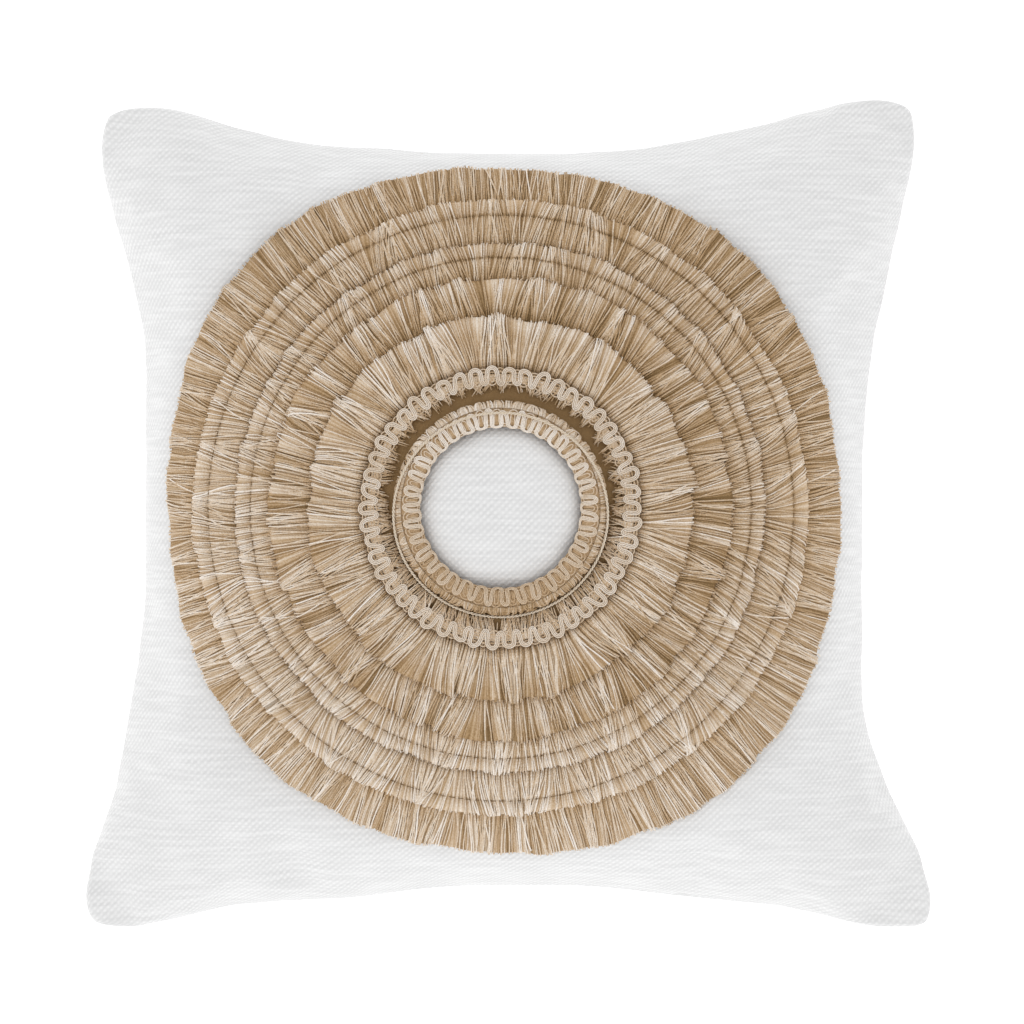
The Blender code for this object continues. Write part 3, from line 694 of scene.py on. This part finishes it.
JOIN_LEAN = {1: 0.1, 2: 0.55, 3: 0.35, 4: 0.0, 5: 0.1}  # fanning of the yarns away from the ring's join
JOIN_WIDTHS = (0.05, 0.30)  # radians over which the fanning sets in and dies away
# Painted shade: the jute's shade value falls on the side of the ring away from the light, by SHADED, and in
# the hollows between gathers, by GATHER_SHADE, which also lightens their crests
SHADED_SIDE_DEG = 65.0  # the side of the ring where the jute is darkest
SHADED = {1: 0.17, 2: 0.20, 3: 0.18, 4: 0.18, 5: 0.06}
GATHER_SHADE = {1: 0.30, 2: 0.16, 3: 0.18, 4: 0.40, 5: 0.34}
EDGE_ABOVE = {1: 0.1522, 2: 0.1304, 3: 0.1138, 4: 0.0945, 5: 0.0690}  # radius of what overhangs each tier
STITCHES = {2: 0.1445, 3: 0.1232}
STITCH_HEIGHT = 0.0054
STITCH_LENGTH = 0.0026
STITCH_PITCH = 0.0042
STITCH_RADIUS = 0.00018
JUTE_SHADE = 0.72  # of the lit yarns; 0 is the darkest brown and 1 the lightest cream
# Painted shadow just outside the edge of the tier above
OVERHANG_SHADE = (0.20, 0.16)  # under the tier above, and how much more tier 4 has on the shaded side
OVERHANG_FADE = 0.0030
# Painted shade: the mat under the loose yarns is darker, and its ribs' valleys darker than their crests
MAT_SHADE = -0.24  # against the loose yarns
CREST_SHADE = 0.12
RIB_SHADE_SPREAD = 0.08
YARN_SHADE_SPREAD = 0.10
MAT_GATHERING = 0.2  # share of the yarns' gathering that the mat below follows
YARN_TILT = 0.040  # spread of the loose yarns' tilts
YARN_BEND = 0.0006
YARN_LIFT = 0.00018
STRAY_SHARE = 0.04
STRAY_TILT = 0.16
STRAY_LIFT = 0.0006

# Jute yarn: golden bast fibre, matt and slightly glossy along the fibre, twisted about one turn
# in 3 mm. The shade value runs from brown to cream; besides each yarn's own tone it holds painted
# shade, brown deep in the brush, and painted light, cream where the yarns catch the light
YARN_SHADES = (
    (0.0, "#80653f"), (0.22, "#a8885f"), (0.45, "#c6a985"), (0.65, "#dac5ab"), (0.85, "#eadccb"),
    (1.0, "#f7eee4"),
)
TWIST_PITCH = 0.003


def jute_yarn(name, shades, noise_scale):
    """Yarn whose colour follows its shade value, painted shade and light included, through the ramp,
    unsettled by fibre noise and by streaks along the yarn, with the ply's twist and the fibres as relief."""
    material, tree, shader = new_material(name)
    where = add_node(tree, "TexCoord", {})
    lay = add_node(tree, "UVMap", {}, uv_map="lay")
    shade = add_node(tree, "Attribute", {}, attribute_name="shade")
    fibres = add_node(tree, "TexNoise", {"Vector": where.outputs["Object"], "Scale": noise_scale,
                      "Detail": 4.0, "Roughness": 0.6})
    drawn_out = add_node(tree, "VectorMath", {0: lay.outputs[0], 1: (3.0, 140.0, 0.0)},
                         operation="MULTIPLY")
    apart = add_node(tree, "Math", {0: shade.outputs["Fac"], 1: 90.0}, operation="MULTIPLY")
    own = add_node(tree, "CombineXYZ", {"Z": apart.outputs[0]})
    streak_at = add_node(tree, "VectorMath", {0: drawn_out.outputs[0], 1: own.outputs[0]}, operation="ADD")
    streaks = add_node(tree, "TexNoise", {"Vector": streak_at.outputs[0], "Scale": 1.0, "Detail": 3.0})
    mixed = add_node(tree, "Math", {0: fibres.outputs["Fac"], 1: streaks.outputs["Fac"]}, operation="ADD")
    spread = add_node(tree, "MapRange", {"Value": mixed.outputs[0], "From Min": 0.6,
                      "From Max": 1.4, "To Min": -0.24, "To Max": 0.24})
    toned = add_node(tree, "Math", {0: shade.outputs["Fac"], 1: spread.outputs[0]}, operation="ADD")
    ramp = add_node(tree, "ValToRGB", {"Fac": toned.outputs[0]})
    stops = ramp.color_ramp.elements
    for place_on, _ in shades[1:-1]:
        stops.new(place_on)
    for stop, (place_on, hex_colour) in zip(stops, shades):
        stop.position = place_on
        stop.color = linear(hex_colour)
    turns = add_node(tree, "VectorMath", {0: lay.outputs[0], 1: (2.0, 2.0 / TWIST_PITCH, 0.0)},
                     operation="MULTIPLY")
    part = add_node(tree, "SeparateXYZ", {0: turns.outputs[0]})
    phase = add_node(tree, "Math", {0: part.outputs["X"], 1: part.outputs["Y"]}, operation="ADD")
    angle = add_node(tree, "Math", {0: phase.outputs[0], 1: math.tau}, operation="MULTIPLY")
    ply = add_node(tree, "Math", {0: angle.outputs[0]}, operation="SINE")
    height = add_node(tree, "Math", {0: fibres.outputs["Fac"], 1: 2.0, 2: ply.outputs[0]},
                      operation="MULTIPLY_ADD")
    bump = add_node(tree, "Bump", {"Height": height.outputs[0], "Distance": 0.00005})
    tree.links.new(ramp.outputs["Color"], shader.inputs["Base Color"])
    tree.links.new(bump.outputs[0], shader.inputs["Normal"])
    shader.inputs["Roughness"].default_value = 0.72
    shader.inputs["Specular IOR Level"].default_value = 0.3
    return material


yarn = jute_yarn("single_ply_jute_yarn", YARN_SHADES, 1300.0)

# Woven jute heading: warp cords run round the ring, and the fringe's own yarns cross them
heading_cloth = two_tone("woven_jute_heading", "TexNoise", {"Scale": 1100.0, "Detail": 5.0},
                         ("#8d6f4b", "#c9ab83"), {"Roughness": 0.9}, relief=0.0002)

# Waxed linen thread, dark brown, used to stitch across the yarns; its dark colour also stands in
# for the shade of the stitched groove, as painted shade
linen = two_tone("waxed_linen_thread", "TexNoise", {"Scale": 1600.0, "Detail": 3.0}, ("#6a5233", "#92754f"),
                 {"Roughness": 0.6})


def lift_of(x, y):
    """Direction square to the draped cover: minus its slopes along X and Y, and 1, to unit length."""
    step = 0.001
    slope_x = (drape_height(x + step, y) - drape_height(x - step, y)) / (2.0 * step)
    slope_y = (drape_height(x, y + step) - drape_height(x, y - step)) / (2.0 * step)
    square = np.stack((-slope_x, -slope_y, np.ones_like(x)), axis=-1)
    return square / np.linalg.norm(square, axis=-1, keepdims=True)


def to_world(angle, radius, height):
    """Points from ring coordinates, and the lift direction at each."""
    x = MEDALLION[0] + radius * np.cos(angle)
    y = MEDALLION[1] + radius * np.sin(angle)
    return np.stack((x, y, drape_height(x, y) + height), axis=-1), lift_of(x, y)


def gathers(angle, radius, pitches, seed):
    """Gathers round a ring: a sine for each pitch, rounded to whole turns, draws the yarns sideways
    by up to pitch / tau. Returns that pull and the fullness, -1 to 1, which is minus its slope."""
    phases = np.random.default_rng(seed).uniform(0.0, math.tau, len(pitches))
    pull = np.zeros_like(angle)
    full = np.zeros_like(angle)
    for pitch, phase in zip(pitches, phases):
        number = round(math.tau * radius / pitch)
        pull = pull + radius / number * np.sin(number * angle + phase) / len(pitches)
        full = full - np.cos(number * angle + phase) / len(pitches)
    return pull, full


def tip_reach(tier, angle):
    """How far the tier's tips reach, as a share of its route: the outermost follows the square
    cushion, by one to four waves round the ring; the others are almost round."""
    if tier == 1:
        waved = [even * np.cos(n * angle) + odd * np.sin(n * angle) for n, even, odd in OUTLINE_WAVES]
        return OUTLINE_SIZE + sum(waved)
    return 1.0 + 0.004 * np.cos(3.0 * angle + tier)


def bundle(parts):
    """Several tube sets as one: their points, quads, corner coordinates and shades, end to end. Each
    set comes with its shade: one number, or one for each ring of its points."""
    starts = np.cumsum([0] + [len(points) for (points, _, _), _ in parts[:-1]])
    points = np.concatenate([made[0] for made, _ in parts])
    quads = np.concatenate([made[1] + start for (made, _), start in zip(parts, starts)])
    corners = np.concatenate([made[2] for made, _ in parts])
    shades = [np.repeat(np.ravel(shade), len(made[0]) // np.size(shade)) for made, shade in parts]
    return points, quads, corners, np.concatenate(shades)


def hang(tier, angle, route, tilt, tip, drawn=1.0):
    """Paths along a route from the given angles. Gathers draw them together by run^1.5 and heave
    them, slow waves and the ring's join lean them, and the tips follow the tier's outline. Returns
    the angles, radii, heights and the gathers' fullness along each path, and the run, 0 to 1."""
    gather, lean, heave, _ = HANGING[tier]
    last = route[:, 0].max()
    run = np.concatenate(((0.0,), np.cumsum(np.hypot(*np.diff(route, axis=0).T))))
    length = run[-1]
    run = run / length
    pull, full = gathers(angle, last, GATHER_PITCHES, SEED + tier)
    slow = gathers(angle, last, LEAN_PITCHES, SEED + 40 + tier)[1]
    from_join = (angle + math.pi) % math.tau - math.pi
    join = JOIN_LEAN[tier] * np.tanh(from_join / JOIN_WIDTHS[0]) * np.exp(-np.abs(from_join) / JOIN_WIDTHS[1])
    scallop = EDGE_WAVES[tier] * gathers(angle, last, EDGE_PITCHES, SEED + 60 + tier)[1]
    reach = (tip_reach(tier, angle) - 1.0) * last + scallop + tip
    side = drawn * gather * pull[:, None] * run ** 1.5
    side = side + (lean * slow + join + tilt)[:, None] * length * run ** 1.3
    radius = route[:, 0] + reach[:, None] * run ** 2
    rise = route[:, 1] + heave * full[:, None] * run ** 1.5
    return angle[:, None] + side / radius, radius, rise, full[:, None], run


def jute_shade(tier, angle, radius, full, run):
    """Painted shade and light of a tier's jute, as its shade value. Painted shade falls on one side
    of the ring, under the tier above, between gathers and along the stitches, and painted highlight
    rises on the hems beyond the stitches and on the tips where they catch the light, which are
    darkened with painted shade at the bottom of the ring."""
    # Painted shade on the side of the ring away from the light, and in the hollows between gathers
    facing = np.cos(angle - math.radians(SHADED_SIDE_DEG))
    shade = JUTE_SHADE - SHADED[tier] * (0.5 + 0.5 * facing)
    shade = shade + GATHER_SHADE[tier] * full * (0.25 + 0.75 * run)
    # Painted shadow under the edge of the tier above, deeper for tier 4 on the shaded side
    under = OVERHANG_SHADE[0] + OVERHANG_SHADE[1] * (tier == 4) * np.maximum(facing, 0.0)
    shade = shade - under * np.exp(-np.maximum(radius - EDGE_ABOVE[tier], 0.0) / OVERHANG_FADE)
    # Tiers 2 and 3: a little lighter overall, painted shade in the stitched groove and painted highlight on
    # the hem beyond it
    if tier in STITCHES:
        sewn = 0.08 + 0.16 * np.maximum(facing, 0.0)
        shade = shade + 0.08 - sewn * np.exp(-((radius - STITCHES[tier]) / 0.0007) ** 2)
        return shade + 0.08 * smooth_step(radius, STITCHES[tier] + 0.001, STITCHES[tier] + 0.005)
    # Tiers 4 and 5: painted highlight on the tips towards the top of the ring, painted shade on them towards
    # the bottom
    if tier > 3:
        shade = shade + 0.16 * np.sin(angle) * smooth_step(run, 0.55, 0.85)
    return shade


def fringe(tier):
    """One tier: a mat of packed yarns, closed all round and ribbed like them, and the loose yarns on
    it, each with its own tilt, thickness, height and shade. Returns both as one set of arrays."""
    rng = np.random.default_rng(SEED + 10 * tier)
    route = np.array(ROUTES[tier])
    ribs = int(math.tau * route[len(route) // 2, 0] / YARN_PITCH)
    angle = (np.arange(2 * ribs) + 0.5) * math.tau / (2 * ribs)
    inner = route - (0.0, MAT_DROP)
    inner[-3:, 0] -= MAT_DROP
    around, radius, rise, full, run = hang(tier, angle, inner, np.zeros(2 * ribs), 0.0, MAT_GATHERING)
    crest = np.where(np.arange(2 * ribs) % 2 == 0, 1.0, -1.0)[:, None]
    own = np.repeat(rng.normal(0.0, RIB_SHADE_SPREAD, (ribs, 1)), 2, axis=0)
    # Painted shade: the mat darker than the loose yarns and its valleys darker than its crests; each rib also
    # has its own random tone
    shade = jute_shade(tier, around, radius, full, run) + MAT_SHADE + CREST_SHADE * crest + own
    top = to_world(around, radius, rise + RIB_HEIGHT * crest)[0]
    bottom = to_world(around, radius - 0.0004 * run, rise - MAT_THICKNESS)[0]
    sheet = np.concatenate((top, bottom[:, ::-1]), axis=1)
    rings = sheet.shape[1]
    number = np.arange(2 * ribs * rings).reshape(2 * ribs, rings)
    ahead = np.roll(number, -1, axis=0)
    quads = np.stack((number, np.roll(number, -1, 1), np.roll(ahead, -1, 1), ahead), axis=-1).reshape(-1, 4)
    across = np.arange(2 * ribs)[:, None] / 2.0 + np.zeros(rings)
    reach = np.concatenate((run, run[::-1])) * 0.03 + np.zeros((2 * ribs, 1))
    lay = np.stack((across, reach), axis=-1).reshape(-1, 2)
    mat = (sheet.reshape(-1, 3), quads, lay[quads.reshape(-1)])
    mat_shade = np.concatenate((shade, shade[:, ::-1]), axis=1)

    count = int(ribs * TOP_YARNS)
    angle = (np.arange(count) + rng.uniform(-0.45, 0.45, count)) * math.tau / count
    stray = rng.uniform(size=count) < STRAY_SHARE
    tilt = rng.normal(0.0, YARN_TILT, count) + stray * rng.normal(0.0, STRAY_TILT, count)
    tip = rng.normal(0.0, HANGING[tier][3], count) - stray * 0.001
    around, radius, rise, full, run = hang(tier, angle, route, tilt, tip)
    bend = rng.normal(0.0, YARN_BEND, (count, 1)) * np.sin(run * 5.0 + rng.uniform(0.0, 1.5, (count, 1)))
    around = around + bend / radius
    rise = rise + rng.normal(0.0, YARN_LIFT, (count, 1)) * run + (STRAY_LIFT * stray)[:, None] * run
    thick = YARN_RADIUS * rng.uniform(0.75, 1.12, (count, 1)) * (1.0 - 0.2 * run ** 3)
    centres, lift = to_world(around, radius, rise)
    shade = jute_shade(tier, around, radius, full, run) + rng.normal(0.0, YARN_SHADE_SPREAD, (count, 1))
    loose = tubes(centres, np.broadcast_to(thick, radius.shape), lift)
    return bundle([(mat, mat_shade), (loose, shade)])


def stitches(tier):
    """A ring of short stitches across the tier's yarns, each bowed up and dipping in at its ends."""
    rng = np.random.default_rng(SEED + 90 + tier)
    count = int(math.tau * STITCHES[tier] / STITCH_PITCH)
    start = (np.arange(count) + rng.uniform(-0.08, 0.08, count)) * STITCH_PITCH / STITCHES[tier]
    share = np.linspace(0.0, 1.0, 5)
    angle = start[:, None] + share * STITCH_LENGTH / STITCHES[tier]
    rise = STITCH_HEIGHT + 0.0004 * np.sin(share * math.pi) - 0.0008 * (np.abs(share - 0.5) * 2) ** 4
    centres, lift = to_world(angle, np.full_like(angle, STITCHES[tier]), np.broadcast_to(rise, angle.shape))
    return tubes(centres, np.full(angle.shape, STITCH_RADIUS), lift)


def heading(inner, outer):
    """A flat woven band between two radii: top rows crossed by ridges, and edges and floor below."""
    low, high = HEADING_HEIGHTS
    radii = np.array((inner, *np.linspace(inner, outer, HEADING_ROWS), outer, inner))
    turn = np.arange(HEADING_STEPS) * math.tau * inner / (2.0 * YARN_PITCH)
    row_phase = np.linspace(0.0, 4.0 * math.tau, HEADING_ROWS)
    ridges = HEADING_RIDGE * np.sin(row_phase)[:, None] * np.sign(np.sin(turn))
    heights = np.concatenate((np.full((1, HEADING_STEPS), low), high - 0.0002 + ridges,
                              np.full((2, HEADING_STEPS), low)))
    band = ring_surface(radii, heights, HEADING_STEPS).reshape(-1, 3)
    quads = ring_quads(len(radii), HEADING_STEPS)
    return band, quads, band[:, :2][quads.reshape(-1)]


for tier in HEADINGS:
    make_piece(f"heading_{tier}", heading(*HEADINGS[tier]), heading_cloth,
               f"fringe_header_{tier}")
    make_piece(f"fringe_{tier}", fringe(tier), yarn, f"fringe_tier_{tier}")
    if tier in STITCHES:
        make_piece(f"stitches_{tier}", stitches(tier), linen, f"stitch_line_{tier}")


# --- Outer gimp braid -----------------------------------------------------------------------
# Scroll gimp: a flat cord of three fine jute yarns laid in a meander of round loops on a
# foundation of crossing yarns, whose cut feet splay into the groove. Sewn flat over tier 5's root.
SCROLLS = 50
INNER_SCROLLS = 35
SCROLL_YARN = 0.00034
SCROLL_YARNS = (-0.00078, 0.0, 0.00078)  # each fine yarn's distance from the cord's middle
SCROLL_UNEVEN = 0.22
SCROLL_LEAN = 0.9
SCROLL_POINTS = 28
OUTER_LOOPS = (0.0608, 0.0683)  # radii of the cord's middle at the loops' two ends
OUTER_TOP = 0.0052
LOWER_LOOPS = 0.42  # half the lower cord's width, as a share of the upper cord's
LOWER_DROP = 0.0006
FOUNDATION = (0.0622, 0.0636, 0.0650, 0.0664)  # radii of the yarns that run round under the loops
FOUNDATION_TOP = 0.0047
FOUNDATION_STEPS = 480
FOOT_ROOT = (0.0650, 0.0045)
FOOT_REACH = (0.0096, 0.0020)  # at the sides, and how much less at the top of the ring
UNDER_YARNS = 450
UNDER_ROOT = (0.0682, 0.0038)
UNDER_REACH = (0.0080, 0.0062)  # at the top of the ring, and how much more at the bottom


def meander(scrolls, bulge, spread, seed, ahead=0.0):
    """The scroll's middle line for a whole ring. Turn p gives the place along the ring, p + bulge *
    sin 2p + spread * sin p + lean * cos p, in radians of the ring, and the place across it, cos p,
    made a little uneven from loop to loop."""
    p = np.arange(scrolls * SCROLL_POINTS) * math.tau / SCROLL_POINTS
    angle = (p + ahead) / scrolls
    phases = np.random.default_rng(seed).uniform(0.0, math.tau, 6)
    uneven = [np.sin(n * angle + f) / 3.0 for n, f in zip((11, 17, 29, 13, 19, 37), phases)]
    lean = SCROLL_LEAN * (uneven[0] + uneven[1] + uneven[2])
    size = 1.0 + SCROLL_UNEVEN * (uneven[3] + uneven[4] + uneven[5])
    along = p + bulge * np.sin(2.0 * p) + spread * np.sin(p) + lean * np.cos(p)
    return (along + ahead) / scrolls, np.cos(p) * size


def scroll_cord(line, lift, offsets):
    """A flat cord along a closed path: a fine yarn at each sideways offset along direction x lift."""
    along = np.roll(line, -1, axis=0) - np.roll(line, 1, axis=0)
    across = np.cross(along, lift)
    across = across / np.linalg.norm(across, axis=-1, keepdims=True)
    yarns = np.stack([line + across * offset for offset in offsets])
    lifts = np.broadcast_to(lift, yarns.shape)
    return tubes(yarns, np.full(yarns.shape[:2], SCROLL_YARN), lifts, closed=True)


def ring_angles(rng, count, run):
    """Angles along yarns laid side by side round a ring, each a little out of its place."""
    return np.arange(count)[:, None] * math.tau / count + rng.normal(0.0, 0.003, (count, 1)) + 0.0 * run


def feet(rng, bunches, each, run):
    """Cut yarns in bunches round a ring: each bunch's angle, its own lean, and its yarns converging
    as they run out. Returns the angles along each yarn and a random number for its reach."""
    middle = np.repeat((np.arange(bunches) + rng.uniform(-0.15, 0.15, bunches)) * math.tau / bunches, each)
    place = np.tile(np.linspace(-1.0, 1.0, each), bunches)
    lean = np.repeat(rng.normal(0.0, 0.045, bunches), each) + rng.normal(0.0, 0.018, bunches * each)
    spread = math.tau / bunches * 0.42
    around = middle[:, None] + place[:, None] * spread * (1.0 - 0.40 * run) + lean[:, None] * run ** 1.5
    return around, rng.normal(0.0, 1.0, (bunches * each, 1))


gimp_yarn = jute_yarn("fine_jute_yarn", YARN_SHADES, 1500.0)
loops_width = OUTER_LOOPS[1] - OUTER_LOOPS[0]
scroll_angle, across = meander(SCROLLS, 0.46, 0.40, SEED + 62)
scroll_radius = np.mean(OUTER_LOOPS) + across * loops_width / 2.0
loops = scroll_cord(*to_world(scroll_angle, scroll_radius, OUTER_TOP + 0.0003 * across), SCROLL_YARNS)
scroll_angle, across = meander(SCROLLS, 0.40, 0.10, SEED + 66, math.pi)
scroll_radius = np.mean(OUTER_LOOPS) - 0.0004 + LOWER_LOOPS * across * loops_width
lower_rise = np.full_like(across, OUTER_TOP - LOWER_DROP)
lower = scroll_cord(*to_world(scroll_angle, scroll_radius, lower_rise), SCROLL_YARNS[::2])

rng = np.random.default_rng(SEED + 61)
run = np.linspace(0.0, 1.0, 7)
foot_angle, chance = feet(rng, SCROLLS * 2, 6, run)
foot_reach = FOOT_REACH[0] - FOOT_REACH[1] * np.sin(foot_angle)
foot_radius = FOOT_ROOT[0] - foot_reach * run + 0.0009 * chance * run
foot_rise = FOOT_ROOT[1] - 0.0014 * run ** 2 + rng.normal(0.0, 0.0002, chance.shape)
centres, lift = to_world(foot_angle, foot_radius, foot_rise)
foot_yarns = tubes(centres, SCROLL_YARN * (1.0 - 0.35 * run ** 2) * np.ones_like(chance), lift)
# The feet darken as they dip into the groove: painted shade
foot_shade = 0.74 + rng.normal(0.0, 0.10, chance.shape) - 0.25 * run

ring_turn = np.arange(FOUNDATION_STEPS) * math.tau / FOUNDATION_STEPS
ring_angle = np.broadcast_to(ring_turn, (len(FOUNDATION), FOUNDATION_STEPS))
weft_radius = np.array(FOUNDATION)[:, None] + 0.00012 * np.sin(ring_angle * 97.0)
centres, lift = to_world(ring_angle, weft_radius, FOUNDATION_TOP + 0.00018 * np.sin(ring_angle * 180.0))
weft = tubes(centres, np.full(ring_angle.shape, SCROLL_YARN), lift, closed=True)

under_angle = ring_angles(rng, UNDER_YARNS, run)
low_side = smooth_step(-np.sin(under_angle), -0.35, 0.15)
under_angle = under_angle + rng.normal(0.0, 0.03, (UNDER_YARNS, 1)) * run ** 2
under_reach = UNDER_REACH[0] + UNDER_REACH[1] * low_side + 0.0010 * rng.normal(0.0, 1.0, (UNDER_YARNS, 1))
under_rise = UNDER_ROOT[1] - 0.0012 * low_side * run
centres, lift = to_world(under_angle, UNDER_ROOT[0] - under_reach * run, under_rise)
under = tubes(centres, np.full(under_angle.shape, SCROLL_YARN), lift)
# Painted shade: the under yarns are darker towards the top of the ring, where the groove lies in shade
braid = bundle([(loops, 0.82), (lower, 0.60), (foot_yarns, foot_shade), (weft, 0.50),
                (under, 0.34 + 0.22 * low_side)])
make_piece("gimp_braid_outer", braid, gimp_yarn, "gimp_outer")


# --- Rim roll and inner gimp braid ----------------------------------------------------------
# A firm roll of jute felt is sewn round the opening, and a second scroll gimp is laid over it:
# its loops edge the opening and its feet hang into the groove.
ROLL_CENTRE = (0.0456, 0.0054)
ROLL_RADIUS = 0.0037
ROLL_STEPS = 360
ARCH = (0.0066, 0.0050)  # half width and height of the braid's arch over the roll
INNER_LOOP_TURNS = (160.0, 76.0)  # degrees round the roll of the loops' two ends
LOWER_TURNS = (112.0, 36.0)  # middle and half spread of the lower cord's turns
FOOT_TURNS = (62.0, 80.0)  # where the feet start, and how far down they run
UNDER_TURNS = (186.0, 205.0)  # the same for the crossing yarns under the loops
INNER_UNDER_YARNS = 700

ring_angle = np.arange(ROLL_STEPS) * math.tau / ROLL_STEPS
line, lift = to_world(ring_angle, np.full(ROLL_STEPS, ROLL_CENTRE[0]), np.full(ROLL_STEPS, ROLL_CENTRE[1]))
roll = tubes(line[None], np.full((1, ROLL_STEPS), ROLL_RADIUS), lift[None], sides=16, closed=True)
make_piece("felt_roll", roll, felt, "rim_roll")


def over_roll(angle, turn, stand):
    """Points on the arch over the roll: radius R + (a + stand) cos turn and height H + (b + stand)
    sin turn, with the arch's own square direction as lift."""
    radius = ROLL_CENTRE[0] + (ARCH[0] + stand) * np.cos(turn)
    rise = ROLL_CENTRE[1] + (ARCH[1] + stand) * np.sin(turn)
    centre, _ = to_world(angle, radius, rise)
    out = np.cos(turn) / ARCH[0]
    up = np.sin(turn) / ARCH[1]
    lift = np.stack((out * np.cos(angle), out * np.sin(angle), up), axis=-1)
    return centre, lift / np.linalg.norm(lift, axis=-1, keepdims=True)


scroll_angle, across = meander(INNER_SCROLLS, 0.50, 0.40, SEED + 64)
start, end = np.radians(INNER_LOOP_TURNS)
path = over_roll(scroll_angle, (start + end) / 2.0 + across * (start - end) / 2.0, 0.0)
loops = scroll_cord(*path, tuple(0.88 * offset for offset in SCROLL_YARNS))
# Painted light: the loops are lighter towards the top of the ring, whose inner slope faces the light, and
# darker towards the bottom
loop_shade = np.tile(0.78 + 0.18 * np.sin(scroll_angle), len(SCROLL_YARNS))
scroll_angle, across = meander(INNER_SCROLLS, 0.50, 0.10, SEED + 68, math.pi)
middle, spread = np.radians(LOWER_TURNS)
lower = scroll_cord(*over_roll(scroll_angle, middle + across * spread, -0.0003), SCROLL_YARNS[::2])
# The same painted light on the lower cord
lower_shade = np.tile(0.60 + 0.15 * np.sin(scroll_angle), 2)

rng = np.random.default_rng(SEED + 71)
foot_angle, chance = feet(rng, INNER_SCROLLS * 3, 5, run)
foot_turn = np.radians(FOOT_TURNS[0] - FOOT_TURNS[1] * run + 8.0 * chance * run)
foot_stand = 0.0002 - 0.0008 * (run - 0.4) ** 2 + 0.0002 * chance * run
centres, lift = over_roll(foot_angle, foot_turn, foot_stand)
foot_yarns = tubes(centres, np.full(centres.shape[:2], 0.00030), lift)
# The same painted light on the feet, and painted shade as they run down
foot_shade = 0.62 + 0.16 * np.sin(foot_angle) + rng.normal(0.0, 0.12, chance.shape) - 0.20 * run ** 2

under_angle = ring_angles(rng, INNER_UNDER_YARNS, run)
under_turn = np.radians(UNDER_TURNS[0] - UNDER_TURNS[1] * run) + 0.0 * under_angle
centres, lift = over_roll(under_angle, under_turn, -0.0007)
under = tubes(centres, np.full(centres.shape[:2], 0.00036), lift)
braid = bundle([(loops, loop_shade), (lower, lower_shade), (foot_yarns, foot_shade), (under, 0.40)])
make_piece("gimp_braid_inner", braid, gimp_yarn, "gimp_inner")


# --- Rim cord -------------------------------------------------------------------------------
# A light two-ply rayon cord couched along the inner braid. It lies in the groove at the bottom of
# the ring and rides up to the braid's crest at the top.
CORD_REACH = (0.0080, 0.0062)
CORD_TURN = (35.0, 50.0)  # degrees round the roll at the sides, and how much more at the top
CORD_PLY = 0.00036
CORD_PITCH = 0.0034
CORD_STEPS = 1400

# Rayon cord: continuous bleached filaments, so it shines where the jute doesn't
rayon = two_tone("two_ply_rayon_cord", "TexNoise", {"Scale": 1400.0, "Detail": 3.0}, ("#c9b08a", "#f4ece0"),
                 {"Roughness": 0.3, "Specular IOR Level": 0.7})

angle = np.arange(CORD_STEPS) * math.tau / CORD_STEPS
turn = np.radians(CORD_TURN[0] + CORD_TURN[1] * np.sin(angle))
radius = ROLL_CENTRE[0] + CORD_REACH[0] * np.cos(turn)
rise = ROLL_CENTRE[1] + CORD_REACH[1] * np.sin(turn)
twists = round(math.tau * ROLL_CENTRE[0] / CORD_PITCH)
plies = []
for phase in (0.0, math.pi):
    spin = angle * twists + phase
    plies.append(to_world(angle, radius + CORD_PLY * np.cos(spin), rise + CORD_PLY * np.sin(spin))[0])
cord = tubes(np.stack(plies), np.full((2, CORD_STEPS), CORD_PLY), np.array((0.0, 0.0, 1.0)), closed=True)
make_piece("rim_cord", cord, rayon, "rim_thread")
